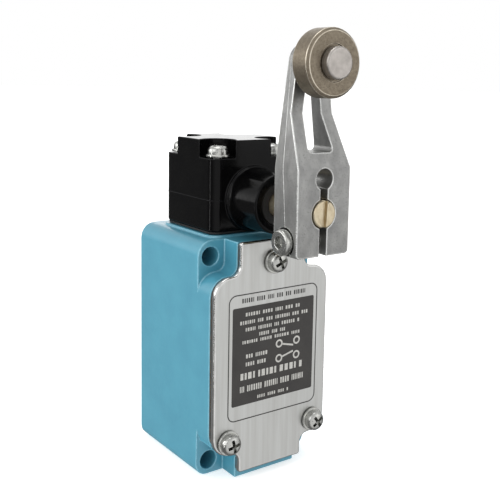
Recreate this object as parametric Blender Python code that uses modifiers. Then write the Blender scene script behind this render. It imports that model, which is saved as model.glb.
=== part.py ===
"""Limit switch with a side rotary head and a roller lever.

Frame: +Z up, +X to the right of someone facing the cover, the cover faces -Y.
The origin is on the back mounting face, midway between the four mounting holes.
"""
from math import atan2, ceil, cos, pi, radians, sin, sqrt, tan

import bmesh
import bpy
from mathutils import Vector

MM = 0.001
SEAT_GAP = 0.25 * MM            # left between pieces that rest on each other
RUN_GAP = 0.3 * MM              # left round anything that turns or slides
CUT_PAST = 2.0 * MM             # how far a cutter runs past the face it opens
ARC_STEP = radians(22.5)          # one outline segment on a rounded corner

# Mounting holes, the body round them, and the recesses that let a bolt head reach them
HOLE_SPACING_X = 30.2 * MM
HOLE_SPACING_Z = 58.7 * MM
HOLE_RADIUS = 2.65 * MM
HOLE_TO_SIDE = 4.0 * MM
HOLE_TO_TOP = 4.55 * MM
HOLE_TO_BOTTOM = 4.15 * MM
HOLE_TO_TOP_SHOULDER = 4.55 * MM
HOLE_TO_BOTTOM_SHOULDER = 4.95 * MM
HOLE_TO_TOP_TAB = 4.6 * MM
HOLE_TO_BOTTOM_TAB = 4.8 * MM
RECESS_DEPTH = 6.2 * MM         # from the gasket face to the recess floor
SHOULDER_RADIUS = 5.4 * MM
TAB_FILLET = 2.6 * MM

# Body casting
BODY_DEPTH = 39.2 * MM          # back face to the gasket face
BODY_TOP_CORNER = 4.4 * MM
BODY_BOTTOM_CORNER = 3.4 * MM
BODY_WALL = 2.7 * MM
TOP_WALL = 3.1 * MM
BACK_WALL = 3.2 * MM
PAD_HEIGHT = 0.6 * MM           # raised seat under the head
PAD_MARGIN = 0.8 * MM

# Cover, its gasket and screws
GASKET_THICKNESS = 0.6 * MM
COVER_THICKNESS = 1.7 * MM
COVER_OVERHANG = 0.5 * MM       # past the body's outline, at the shoulders and tabs
COVER_SIDE_OVERHANG = 0.2 * MM
COVER_TOP_OVERHANG = 0.3 * MM
COVER_SHORT = 2.6 * MM          # from the bottom of the body to the bottom of the cover
COVER_SCREW_FROM_TOP = 5.8 * MM
COVER_SCREW_FROM_SIDE = 4.5 * MM
COVER_SCREW_FROM_SHOULDER = 3.5 * MM
COVER_SCREW_RADIUS = 1.5 * MM
COVER_SCREW_HEAD = 2.9 * MM
COVER_SCREW_LENGTH = 10.0 * MM
BOSS_RADIUS = 3.2 * MM
BOSS_DEPTH = 10.5 * MM
BOSS_SET_BACK = 0.2 * MM

# Conduit inlet in the bottom
CONDUIT_RADIUS = 10.3 * MM
CONDUIT_DEPTH = 7.0 * MM
THROAT_RADIUS = 8.4 * MM
THROAT_WALL = 1.9 * MM

# Head
HEAD_SIDE = 26.8 * MM
HEAD_HEIGHT = 25.2 * MM
HEAD_CORNER = 3.0 * MM
HEAD_BACK = 4.5 * MM            # distance of the head's back face from the mounting face
HEAD_GASKET = 0.5 * MM
HEAD_WALL = 4.0 * MM
HEAD_ROOF = 7.7 * MM
HEAD_SCREW_INSET = HEAD_SIDE / 6.7
HEAD_SCREW_RADIUS = 1.5 * MM
HEAD_SCREW_HEAD = 2.9 * MM
HEAD_SCREW_BITE = 8.0 * MM      # length of thread in the body
POCKET_RADIUS = 5.2 * MM
POCKET_DEPTH = 5.0 * MM
HUB_LENGTH = 12.8 * MM
HUB_WALL = 2.2 * MM
HUB_FLANGE = 1.1 * MM           # how far the flange stands out past the hub
HUB_FLANGE_THICKNESS = 0.9 * MM

# Fasteners in general
WASHER_RADIUS = 3.4 * MM
WASHER_THICKNESS = 0.7 * MM
PAN_HEAD_HEIGHT = 2.2 * MM
HOLE_CLEARANCE = 0.3 * MM

# Shaft and what it carries inside the head
SHAFT_RADIUS = 3.55 * MM
SHAFT_CLEARANCE = 5.05 * MM      # from the head's base to the underside of the shaft
SHAFT_TAIL_RADIUS = 2.4 * MM
SHAFT_TAIL_LENGTH = 2.0 * MM
SHAFT_SLOT_WIDTH = 1.25 * MM
SHAFT_SLOT_DEPTH = 1.2 * MM
SHAFT_SLOT_TURN = radians(3)
SHAFT_PROUD = 0.6 * MM          # in front of the lever's face
BUSH_WALL = 1.3 * MM
SEAL_WALL = 2.0 * MM
SEAL_THICKNESS = 1.9 * MM
RING_THICKNESS = 0.8 * MM
RING_WALL = 1.45 * MM           # how far the ring stands out past the shaft
RING_GROOVE = 0.6 * MM
RING_OFFSET = 5.9 * MM          # in front of the plunger's axis
CAM_WALL = 1.4 * MM
CAM_LENGTH = 8.4 * MM
CAM_FLAT_DEPTH = 0.75 * MM
CAM_PIN_RADIUS = 0.8 * MM

# Lever
LEVER_LENGTH = 37.8 * MM        # shaft axis to roller axis
HUB_TO_LEVER = 8.6 * MM
LEVER_BLOCK_DEPTH = 9.6 * MM
LEVER_ARM_DEPTH = 3.8 * MM
LEVER_WALL = 4.8 * MM           # beside the shaft's bore
LEVER_TIP_WALL = 1.85 * MM      # round the pin's bore
LEVER_CORNER = 1.1 * MM
LEVER_KINK = 11.6 * MM          # where the front face starts to slope back, above the shaft
SLOPE_TO_ROLLER = 3.9 * MM
LEVER_RELIEF_HEIGHT = 8.9 * MM
LEVER_RELIEF_RADIUS = 2.7 * MM
LEVER_SLIT = 2.3 * MM
WINDOW_BOTTOM = 15.5 * MM
WINDOW_TO_AXIS = 6.3 * MM       # from the top of the window to the roller's axis
WINDOW_HALF_BOTTOM = 4.1 * MM
WINDOW_HALF_TOP = 2.2 * MM
WINDOW_CORNER_BOTTOM = 1.2 * MM
WINDOW_CORNER_TOP = 0.8 * MM
CLAMP_WALL = 1.5 * MM           # between the shaft's bore and the clamp screw
CLAMP_BELOW = 3.8 * MM          # lever below the clamp screw's axis
CLAMP_RADIUS = 1.8 * MM
CLAMP_HEAD_RADIUS = 3.4 * MM
CLAMP_HEAD_HEIGHT = 2.7 * MM
CLAMP_HEAD_SUNK = 1.7 * MM
CLAMP_WASHER = 0.5 * MM
CLAMP_END_SHORT = 0.6 * MM
CLAMP_SOCKET_RADIUS = 1.75 * MM
CLAMP_SOCKET_DEPTH = 1.8 * MM

# Roller and its pin
ROLLER_RADIUS = 8.7 * MM
ROLLER_WIDTH = 6.5 * MM
ROLLER_EDGE = 0.7 * MM
ROLLER_DISH = 0.5 * MM
ROLLER_WASHER = 1.3 * MM
PIN_RADIUS = 3.0 * MM
PIN_EDGE = 0.4 * MM
PIN_HEAD_RIM = 1.1 * MM         # how far each larger round stands out past the pin
PIN_TAIL_RIM = 0.9 * MM
PIN_WASHER_RIM = 1.8 * MM
DISH_RIM = 0.6 * MM
PIN_HEAD_HEIGHT = 1.9 * MM
PIN_TAIL_HEIGHT = 0.8 * MM

# Plunger, its guide and spring
PLUNGER_TRAVEL = 1.5 * MM
PLUNGER_RADIUS = 2.1 * MM
PLUNGER_DISC_RADIUS = 6.2 * MM
PLUNGER_DISC = 1.2 * MM
GUIDE_RADIUS = 6.2 * MM
GUIDE_WALL = 1.5 * MM
GUIDE_FLOOR = 1.4 * MM
GUIDE_DEPTH = 9.0 * MM
GUIDE_FLANGE_RIM = 2.4 * MM
GUIDE_FLANGE = 1.2 * MM
RETURN_SPRING_WIRE = 0.8 * MM
RETURN_SPRING_TURNS = 4

# Contact block in the body
POST_RADIUS = 3.0 * MM
POST_HEIGHT = 6.1 * MM
CASE_SIDE_CLEARANCE = 3.5 * MM
CASE_BELOW_GUIDE = 5.0 * MM
CASE_ABOVE_GROUND = 0.9 * MM
CASE_DEPTH = 16.7 * MM
CASE_CORNER = 1.0 * MM
CASE_LEDGE_HEIGHT = 6.0 * MM
CASE_LEDGE_SET_BACK = 1.4 * MM
CASE_WALL = 1.7 * MM
CASE_ROOF = 11.0 * MM
CASE_FLOOR = 2.7 * MM
CASE_ROOM_HEIGHT = 14.0 * MM
CASE_LID = 1.5 * MM
BLOCK_SCREW_X = 9.5 * MM
BLOCK_SCREW_DROP = 4.5 * MM
BLOCK_SCREW_RADIUS = 1.3 * MM
BLOCK_SCREW_HEAD = 2.5 * MM
BLOCK_SCREW_HEIGHT = 1.6 * MM
BLOCK_SCREW_BITE = 4.4 * MM
BUTTON_RADIUS = 1.9 * MM
BUTTON_STEM_RADIUS = 1.2 * MM
BUTTON_ABOVE_CASE = 3.8 * MM
CONTACT_TRAVEL = 1.3 * MM
BRIDGE_DROP = 2.7 * MM          # below the roof of the case's room
BRIDGE_THICKNESS = 0.8 * MM
BRIDGE_HALF_LENGTH = 10.2 * MM
BRIDGE_HALF_WIDTH = 2.6 * MM
CONTACT_SPRING_WIRE = 0.5 * MM
CONTACT_SPRING_TURNS = 5
STRIP_THICKNESS = 0.8 * MM
STRIP_WIDTH = 3.2 * MM
STRIP_CENTRES = (-9.2 * MM, -4.8 * MM, 4.8 * MM, 9.2 * MM)
STRIP_SCREW_DROP = 2.9 * MM     # below the top of the ledge
TERMINAL_SCREW_RADIUS = 1.1 * MM
TERMINAL_SCREW_HEAD = 1.95 * MM
TERMINAL_SCREW_HEIGHT = 1.3 * MM
TERMINAL_SCREW_LENGTH = 5.6 * MM
GROUND_SCREW_ABOVE = 3.5 * MM   # above the bottom shoulder
GROUND_POST_DEPTH = 5.3 * MM

# Places and sizes that follow from the ones above
BODY_WIDTH = HOLE_SPACING_X + 2 * HOLE_TO_SIDE
BODY_TOP = HOLE_SPACING_Z / 2 + HOLE_TO_TOP
BODY_BOTTOM = -HOLE_SPACING_Z / 2 - HOLE_TO_BOTTOM
BODY_FRONT = -BODY_DEPTH
SHOULDER_TOP = HOLE_SPACING_Z / 2 - HOLE_TO_TOP_SHOULDER
SHOULDER_BOTTOM = -HOLE_SPACING_Z / 2 + HOLE_TO_BOTTOM_SHOULDER
TAB_TOP_HALF = HOLE_SPACING_X / 2 - HOLE_TO_TOP_TAB
TAB_BOTTOM_HALF = HOLE_SPACING_X / 2 - HOLE_TO_BOTTOM_TAB
RECESS_FLOOR = BODY_DEPTH - RECESS_DEPTH
CAVITY_TOP = BODY_TOP - TOP_WALL
CAVITY_BOTTOM = BODY_BOTTOM + CONDUIT_DEPTH + THROAT_WALL

COVER_WIDTH = BODY_WIDTH + 2 * COVER_SIDE_OVERHANG
COVER_TOP = BODY_TOP + COVER_TOP_OVERHANG
COVER_BOTTOM = BODY_BOTTOM + COVER_SHORT
COVER_REAR = BODY_FRONT - GASKET_THICKNESS - 2 * SEAT_GAP
COVER_FRONT = COVER_REAR - COVER_THICKNESS
SCREW_SEAT = WASHER_THICKNESS + 2 * SEAT_GAP
LOWER_SCREW_X = BODY_WIDTH / 2 - COVER_SCREW_FROM_SIDE
LOWER_SCREW_Z = SHOULDER_BOTTOM + COVER_SCREW_FROM_SHOULDER
COVER_SCREWS = {"top": (0.0, BODY_TOP - COVER_SCREW_FROM_TOP),
                "lower_left": (-LOWER_SCREW_X, LOWER_SCREW_Z),
                "lower_right": (LOWER_SCREW_X, LOWER_SCREW_Z)}

PAD_TOP = BODY_TOP + PAD_HEIGHT
HEAD_BASE = PAD_TOP + HEAD_GASKET + 2 * SEAT_GAP
HEAD_TOP = HEAD_BASE + HEAD_HEIGHT
HEAD_Y = -(HEAD_BACK + HEAD_SIDE / 2)
HEAD_FRONT = HEAD_Y - HEAD_SIDE / 2
HEAD_HOLLOW_RADIUS = HEAD_SIDE / 2 - HEAD_WALL
HEAD_HOLLOW_TOP = HEAD_TOP - HEAD_ROOF
HEAD_SCREW_PITCH = HEAD_SIDE - 2 * HEAD_SCREW_INSET
POCKET_FLOOR = HEAD_TOP - POCKET_DEPTH
HUB_FRONT = HEAD_FRONT - HUB_LENGTH
HUB_RADIUS = SHAFT_RADIUS + RUN_GAP + SEAL_WALL + SEAT_GAP + HUB_WALL
HUB_FLANGE_RADIUS = HUB_RADIUS + HUB_FLANGE

SHAFT_HEIGHT = HEAD_BASE + SHAFT_CLEARANCE + SHAFT_RADIUS
SHAFT_AXIS = Vector((0, 0, SHAFT_HEIGHT))
RING_RADIUS = SHAFT_RADIUS + RING_WALL
CAM_RADIUS = SHAFT_RADIUS + CAM_WALL
CAM_FLAT = CAM_RADIUS - CAM_FLAT_DEPTH

LEVER_BACK = -HUB_FRONT + HUB_TO_LEVER
LEVER_FRONT = -(LEVER_BACK + LEVER_BLOCK_DEPTH)
ARM_FRONT = -(LEVER_BACK + LEVER_ARM_DEPTH)
LEVER_BORE = SHAFT_RADIUS + SEAT_GAP
LEVER_HALF_WIDTH = LEVER_BORE + LEVER_WALL
LEVER_TIP_RADIUS = PIN_RADIUS + SEAT_GAP + LEVER_TIP_WALL
CLAMP_DROP = LEVER_BORE + CLAMP_WALL + CLAMP_RADIUS
LEVER_BELOW = CLAMP_DROP + CLAMP_BELOW
LEVER_SLOPE_END = LEVER_LENGTH - ROLLER_RADIUS - SLOPE_TO_ROLLER
WINDOW_TOP = LEVER_LENGTH - WINDOW_TO_AXIS
ROLLER_AXIS = Vector((0, 0, SHAFT_HEIGHT + LEVER_LENGTH))
ROLLER_BORE = PIN_RADIUS + RUN_GAP
PIN_HEAD_RADIUS = PIN_RADIUS + PIN_HEAD_RIM
PIN_TAIL_RADIUS = PIN_RADIUS + PIN_TAIL_RIM
PIN_WASHER_RADIUS = PIN_RADIUS + PIN_WASHER_RIM
ROLLER_DISH_RADIUS = PIN_HEAD_RADIUS + DISH_RIM

GUIDE_FLANGE_RADIUS = GUIDE_RADIUS + GUIDE_FLANGE_RIM
GUIDE_BOTTOM = PAD_TOP - GUIDE_DEPTH
PLUNGER_DISC_TOP = SHAFT_HEIGHT - CAM_RADIUS - RUN_GAP

GROUND_SCREW_Z = SHOULDER_BOTTOM + GROUND_SCREW_ABOVE
CASE_HALF_WIDTH = BODY_WIDTH / 2 - BODY_WALL - CASE_SIDE_CLEARANCE
CASE_BACK = BACK_WALL + POST_HEIGHT
CASE_FRONT = CASE_BACK + CASE_DEPTH
CASE_TOP = GUIDE_BOTTOM - CASE_BELOW_GUIDE
CASE_BOTTOM = GROUND_SCREW_Z + POST_RADIUS + CASE_ABOVE_GROUND
CASE_LEDGE_TOP = CASE_BOTTOM + CASE_LEDGE_HEIGHT
CASE_ROOM_TOP = CASE_TOP - CASE_ROOF
CASE_ROOM_BOTTOM = CASE_ROOM_TOP - CASE_ROOM_HEIGHT
CASE_ROOM_BACK = CASE_BACK + CASE_FLOOR
CASE_LID_FRONT = -(CASE_FRONT + SEAT_GAP + CASE_LID)
BLOCK_SCREW_Z = CASE_TOP - BLOCK_SCREW_DROP
BUTTON_TOP = CASE_TOP + BUTTON_ABOVE_CASE
BRIDGE_TOP = CASE_ROOM_TOP - BRIDGE_DROP
BRIDGE_BOTTOM = BRIDGE_TOP - BRIDGE_THICKNESS


# ---------------------------------------------------------------- scene set-up

def clear_scene():
    """Remove every object and unused mesh from the open file."""
    for item in list(bpy.data.objects):
        bpy.data.objects.remove(item)


def new_collection(name):
    """Return a new collection linked to the scene."""
    group = bpy.data.collections.new(name)
    bpy.context.scene.collection.children.link(group)
    return group


clear_scene()
PARTS = new_collection("limit_switch")
CUTTERS = new_collection("cutters")


def new_material(name, colour, roughness, metallic):
    """Return a Principled material."""
    made = bpy.data.materials.new(name)
    made.use_nodes = True
    shader = made.node_tree.nodes["Principled BSDF"]
    shader.inputs["Base Color"].default_value = (*colour, 1.0)
    shader.inputs["Roughness"].default_value = roughness
    shader.inputs["Metallic"].default_value = metallic
    return made


BLUE_ENAMEL = new_material("blue_enamel", (0.09, 0.36, 0.50), 0.35, 0.0)
BLACK_ENAMEL = new_material("black_enamel", (0.012, 0.012, 0.013), 0.18, 0.0)
SATIN_STEEL = new_material("satin_steel", (0.62, 0.60, 0.56), 0.32, 1.0)
ZINC = new_material("zinc_plate", (0.66, 0.67, 0.68), 0.25, 1.0)
CAST_ALUMINIUM = new_material("cast_aluminium", (0.48, 0.48, 0.47), 0.42, 1.0)
SINTERED_STEEL = new_material("sintered_steel", (0.30, 0.28, 0.25), 0.5, 1.0)
PIN_STEEL = new_material("pin_steel", (0.60, 0.58, 0.55), 0.3, 1.0)
SHAFT_BRASS = new_material("shaft_brass", (0.60, 0.42, 0.20), 0.3, 1.0)
BRONZE = new_material("bronze", (0.50, 0.33, 0.16), 0.45, 1.0)
BRASS = new_material("brass", (0.70, 0.54, 0.24), 0.3, 1.0)
CORK_RUBBER = new_material("cork_rubber", (0.05, 0.035, 0.03), 0.85, 0.0)
BLACK_RUBBER = new_material("black_rubber", (0.015, 0.015, 0.015), 0.8, 0.0)
WHITE_NYLON = new_material("white_nylon", (0.75, 0.74, 0.68), 0.5, 0.0)
PHENOLIC = new_material("phenolic", (0.05, 0.03, 0.02), 0.4, 0.0)
SPRING_STEEL = new_material("spring_steel", (0.45, 0.45, 0.46), 0.3, 1.0)
GREEN_PLATE = new_material("green_plate", (0.05, 0.30, 0.10), 0.35, 1.0)


def link(item, group, paint=None):
    """Put an object in a collection and give its mesh one material."""
    group.objects.link(item)
    if paint:
        item.data.materials.clear()
        item.data.materials.append(paint)
    if group is CUTTERS:
        item.hide_render = True
        item.display_type = 'WIRE'
    return item


def smooth(mesh):
    """Shade a mesh smooth, with its real edges kept sharp."""
    mesh.shade_smooth()
    mesh.set_sharp_from_angle(angle=radians(32))


# ---------------------------------------------------------------- outlines

def rounded(corners):
    """Return an outline's points, from corners given as (u, v) or (u, v, radius)."""
    points = []
    count = len(corners)
    for index, corner in enumerate(corners):
        here = Vector(corner[:2])
        radius = corner[2] if len(corner) > 2 else 0.0
        if radius <= 0.0:
            points.append(here)
            continue
        back = (Vector(corners[index - 1][:2]) - here).normalized()
        ahead = (Vector(corners[(index + 1) % count][:2]) - here).normalized()
        half = back.angle(ahead) / 2
        centre = here + (back + ahead).normalized() * (radius / sin(half))
        first = here + back * (radius / tan(half)) - centre
        turn = first.angle_signed(here + ahead * (radius / tan(half)) - centre)
        steps = max(2, ceil(abs(turn) / ARC_STEP))
        start = atan2(first.y, first.x)
        for step in range(steps + 1):
            angle = start - turn * step / steps
            points.append(centre + Vector((cos(angle), sin(angle))) * radius)
    return points


def circle(centre, radius, segments=24):
    """Return the points of a circle outline."""
    return [Vector((centre[0] + radius * cos(2 * pi * step / segments),
                    centre[1] + radius * sin(2 * pi * step / segments)))
            for step in range(segments)]


def rectangle(low, high, radius=0.0):
    """Return a rectangle's outline, with rounded corners if a radius is given."""
    return rounded([(low[0], low[1], radius), (high[0], low[1], radius),
                    (high[0], high[1], radius), (low[0], high[1], radius)])


TURN_TO = {"X": (pi / 2, 0, pi / 2), "Y": (pi / 2, 0, 0), "Z": (0, 0, 0)}


def extruded(name, loops, low, high, along, group=PARTS, paint=None, at=(0, 0, 0)):
    """Return a flat outline, with its holes, extruded between two planes.

    The loops are in (Y, Z) for X, in (X, Z) for Y and in (X, Y) for Z, outer loop first.
    The planes are given along the named axis, and everything is measured from `at`.
    """
    curve = bpy.data.curves.new(name, 'CURVE')
    curve.dimensions = '2D'
    curve.fill_mode = 'NONE'
    curve.extrude = abs(high - low) / 2
    spline = curve.splines.new('POLY')
    spline.points.add(len(loops[0]) - 1)
    for point, place in zip(spline.points, loops[0]):
        point.co = (place[0], place[1], 0, 1)
    spline.use_cyclic_u = True
    guide = bpy.data.objects.new(name + "_outline", curve)
    guide.rotation_euler = TURN_TO[along]
    CUTTERS.objects.link(guide)
    bpy.context.view_layer.update()
    graph = bpy.context.evaluated_depsgraph_get()
    mesh = bpy.data.meshes.new_from_object(guide.evaluated_get(graph))
    turn = guide.matrix_world.copy()
    bpy.data.objects.remove(guide)
    middle = (low + high) / 2 * (-1 if along == "Y" else 1)
    shape = bmesh.new()
    shape.from_mesh(mesh)
    bmesh.ops.remove_doubles(shape, verts=shape.verts, dist=1e-6)
    bmesh.ops.holes_fill(shape, edges=shape.edges)
    bmesh.ops.translate(shape, verts=shape.verts, vec=(0, 0, middle))
    bmesh.ops.transform(shape, verts=shape.verts, matrix=turn)
    bmesh.ops.recalc_face_normals(shape, faces=shape.faces)
    shape.to_mesh(mesh)
    shape.free()
    mesh.name = name
    smooth(mesh)
    made = bpy.data.objects.new(name, mesh)
    made.location = at
    link(made, group, paint)
    below = min(low, high) - CUT_PAST
    above = max(low, high) + CUT_PAST
    for index, loop in enumerate(loops[1:], start=1):
        cut(made, extruded("%s_opening_%d" % (name, index), [loop], below, above, along, CUTTERS, at=at))
    return made


def box(name, low, high, group=PARTS, paint=None, at=(0, 0, 0)):
    """Return a box between two opposite corners."""
    shape = bmesh.new()
    bmesh.ops.create_cube(shape, size=1.0)
    size = [abs(b - a) for a, b in zip(low, high)]
    middle = [(a + b) / 2 for a, b in zip(low, high)]
    bmesh.ops.scale(shape, verts=shape.verts, vec=size)
    bmesh.ops.translate(shape, verts=shape.verts, vec=middle)
    mesh = bpy.data.meshes.new(name)
    shape.to_mesh(mesh)
    shape.free()
    made = bpy.data.objects.new(name, mesh)
    made.location = at
    return link(made, group, paint)


def turned(name, profile, along="Z", group=PARTS, paint=None, at=(0, 0, 0), segments=24):
    """Return a turned solid: (radius, height) pairs, outer side from top to bottom.

    Heights run along +Z, or towards the viewer (-Y) or to the left (-X). A profile that
    ends where it starts makes a ring.
    """
    mesh = bpy.data.meshes.new(name)
    closed = profile[0] == profile[-1]
    points = profile[:-1] if closed else profile
    edges = [(index, index + 1) for index in range(len(points) - 1)]
    if closed:
        edges.append((len(points) - 1, 0))
    mesh.from_pydata([(radius, 0, height) for radius, height in points], edges, [])
    made = bpy.data.objects.new(name, mesh)
    made.location = at
    made.rotation_euler = {"Z": (0, 0, 0), "Y": (pi / 2, 0, 0), "X": (0, -pi / 2, 0)}[along]
    screw = made.modifiers.new("turn", 'SCREW')
    screw.steps = segments
    screw.render_steps = segments
    screw.use_merge_vertices = True
    screw.merge_threshold = 1e-6
    screw.use_normal_calculate = False
    return link(made, group, paint)


def bar(name, radius, top, bottom, along="Z", group=PARTS, paint=None, at=(0, 0, 0), segments=16):
    """Return a plain cylinder between two heights along an axis."""
    profile = [(0, top), (radius, top), (radius, bottom), (0, bottom)]
    return turned(name, profile, along, group, paint, at, segments)


def tube(name, outer, inner, top, bottom, along="Z", group=PARTS, paint=None, at=(0, 0, 0),
         segments=20):
    """Return a plain ring or sleeve."""
    profile = [(outer, top), (outer, bottom), (inner, bottom), (inner, top), (outer, top)]
    return turned(name, profile, along, group, paint, at, segments)


def combine(target, tool, operation):
    """Add a Boolean modifier that keeps the tool as its live operand."""
    step = target.modifiers.new(tool.name, 'BOOLEAN')
    step.operation = operation
    step.solver = 'EXACT'
    step.object = tool


def cut(target, tool):
    """Take a cutter's shape out of a piece."""
    combine(target, tool, 'DIFFERENCE')


def join(target, tool):
    """Make another shape part of a piece."""
    combine(target, tool, 'UNION')


def weld(target):
    """Close the hairline seams that a long row of Booleans leaves."""
    step = target.modifiers.new("weld", 'WELD')
    step.merge_threshold = 2e-6


def baked(template):
    """Return the template's finished mesh, and remove the template and its cutters."""
    bpy.context.view_layer.update()
    graph = bpy.context.evaluated_depsgraph_get()
    mesh = bpy.data.meshes.new_from_object(template.evaluated_get(graph))
    tools = [step.object for step in template.modifiers if step.type == 'BOOLEAN']
    for spent in tools + [template]:
        bpy.data.objects.remove(spent)
    smooth(mesh)
    return mesh


def placed(name, mesh, at, turn=(0, 0, 0)):
    """Return one copy of a shared mesh at a place."""
    made = bpy.data.objects.new(name, mesh)
    made.location = at
    made.rotation_euler = turn
    PARTS.objects.link(made)
    return made


def pivot(name, place, parent=None):
    """Return an empty on a joint's axis."""
    made = bpy.data.objects.new(name, None)
    made.empty_display_size = 5 * MM
    made.location = place - parent.location if parent else place
    made.parent = parent
    PARTS.objects.link(made)
    return made


def carry(parent, place, pieces):
    """Hang pieces on a pivot that stands at a place, without moving them."""
    for piece in pieces:
        piece.location = piece.location - Vector(place)
        piece.parent = parent


# ---------------------------------------------------------------- fasteners

def cross_screw_mesh(name, paint, head, shank, length, recess=True):
    """Return the mesh of a pan-head screw: seat at height 0, head up, shank down."""
    tall = PAN_HEAD_HEIGHT * head / COVER_SCREW_HEAD
    profile = [(0, tall), (0.55 * head, 0.96 * tall), (0.88 * head, 0.74 * tall),
               (head, 0.42 * tall), (head, 0), (shank, 0), (shank, -length + 0.5 * shank),
               (0.5 * shank, -length), (0, -length)]
    screw = turned(name, profile, paint=paint, segments=16)
    if recess:
        reach = 0.62 * head
        thin = 0.13 * head
        deep = 0.35 * tall
        above = tall + CUT_PAST
        cut(screw, box(name + "_slot_x", (-reach, -thin, deep), (reach, thin, above), CUTTERS))
        cut(screw, box(name + "_slot_y", (-thin, -reach, deep), (thin, reach, above), CUTTERS))
    return baked(screw)


def slotted_screw_mesh(name, paint, head, tall, shank, length):
    """Return the mesh of a small slotted screw: seat at height 0, head up, shank down."""
    profile = [(0, tall), (0.85 * head, tall), (head, 0.75 * tall), (head, 0), (shank, 0),
               (shank, -length), (0, -length)]
    screw = turned(name, profile, paint=paint, segments=12)
    slot = box(name + "_slot", (-head - CUT_PAST, -0.14 * head, 0.5 * tall),
               (head + CUT_PAST, 0.14 * head, tall + CUT_PAST), CUTTERS)
    cut(screw, slot)
    return baked(screw)


def washer_mesh(name, paint, inner):
    """Return the mesh of a plain washer that stands on height 0."""
    return baked(tube(name, WASHER_RADIUS, inner, WASHER_THICKNESS, 0, paint=paint, segments=16))


FACE_FRONT = (pi / 2, 0, 0)


# ---------------------------------------------------------------- body

def front_outline(half_width, tab_top, top, shoulder_top, tab_bottom, bottom, shoulder_bottom,
                  tab_corner):
    """Return the outline with notched corners that the cover and gasket share."""
    right = [(tab_bottom, bottom, tab_corner), (tab_bottom, shoulder_bottom, TAB_FILLET),
             (half_width, shoulder_bottom, SHOULDER_RADIUS),
             (half_width, shoulder_top, SHOULDER_RADIUS),
             (tab_top, shoulder_top, TAB_FILLET), (tab_top, top, tab_corner)]
    left = [(-u, v, radius) for u, v, radius in reversed(right)]
    return rounded(right + left)


def body_front_outline(inset=0.0):
    """Return the outline of the body's front face, moved in by an inset."""
    return front_outline(BODY_WIDTH / 2 - inset, TAB_TOP_HALF - inset, BODY_TOP - inset,
                         SHOULDER_TOP - inset, TAB_BOTTOM_HALF - inset, COVER_BOTTOM - inset,
                         SHOULDER_BOTTOM + inset, 1.0 * MM)


def cavity_outline(inset=0.0):
    """Return the outline of the wiring space, moved in by an inset."""
    side = BODY_WIDTH / 2 - BODY_WALL - inset
    neck = TAB_TOP_HALF - BODY_WALL + 0.4 * MM - inset
    shoulder_top = SHOULDER_TOP - BODY_WALL - inset
    shoulder_bottom = SHOULDER_BOTTOM + BODY_WALL + inset
    right = [(neck, CAVITY_BOTTOM + inset, 1.0 * MM), (neck, shoulder_bottom, 1.0 * MM),
             (side, shoulder_bottom, 2.5 * MM), (side, shoulder_top, 2.5 * MM),
             (neck, shoulder_top, 1.0 * MM), (neck, CAVITY_TOP - inset, 1.5 * MM)]
    return rounded(right + [(-u, v, radius) for u, v, radius in reversed(right)])


def cut_recess(body, side, up):
    """Take one corner recess out of the body's front."""
    tab = TAB_TOP_HALF if up > 0 else TAB_BOTTOM_HALF
    shoulder = SHOULDER_TOP if up > 0 else SHOULDER_BOTTOM
    edge = BODY_WIDTH / 2
    past = edge + CUT_PAST
    far = (BODY_TOP if up > 0 else BODY_BOTTOM) + up * CUT_PAST
    curve_end = shoulder - up * SHOULDER_RADIUS
    corners = [(side * tab, far), (side * tab, shoulder, TAB_FILLET),
               (side * edge, shoulder, SHOULDER_RADIUS),
               (side * edge, curve_end - up * 0.1 * MM), (side * past, curve_end - up * 0.1 * MM),
               (side * past, far)]
    name = "recess_%s_%s" % ("upper" if up > 0 else "lower", "right" if side > 0 else "left")
    tool = extruded(name, [rounded(corners)], -RECESS_FLOOR, BODY_FRONT - CUT_PAST, "Y", CUTTERS)
    cut(body, tool)


def make_body():
    """Return the die-cast body."""
    half = BODY_WIDTH / 2
    outline = rounded([(-half, BODY_BOTTOM, BODY_BOTTOM_CORNER), (half, BODY_BOTTOM, BODY_BOTTOM_CORNER),
                       (half, BODY_TOP, BODY_TOP_CORNER), (-half, BODY_TOP, BODY_TOP_CORNER)])
    body = extruded("switch_body", [outline], 0, BODY_FRONT, "Y", paint=BLUE_ENAMEL)
    pad_half = HEAD_SIDE / 2 + PAD_MARGIN
    pad = extruded("head_pad", [rectangle((-pad_half, HEAD_Y - pad_half), (pad_half, HEAD_Y + pad_half),
                                          HEAD_CORNER + PAD_MARGIN)],
                   BODY_TOP - 1.0 * MM, PAD_TOP, "Z", CUTTERS)
    join(body, pad)
    for up in (1, -1):
        for side in (1, -1):
            cut_recess(body, side, up)
    cut(body, extruded("cavity", [cavity_outline()], -BACK_WALL, BODY_FRONT - CUT_PAST, "Y", CUTTERS))
    add_bosses(body)
    cut_conduit(body)
    cut_head_seat(body)
    drill_mounting_holes(body)
    drill_screw_holes(body)
    weld(body)
    return body


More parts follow.
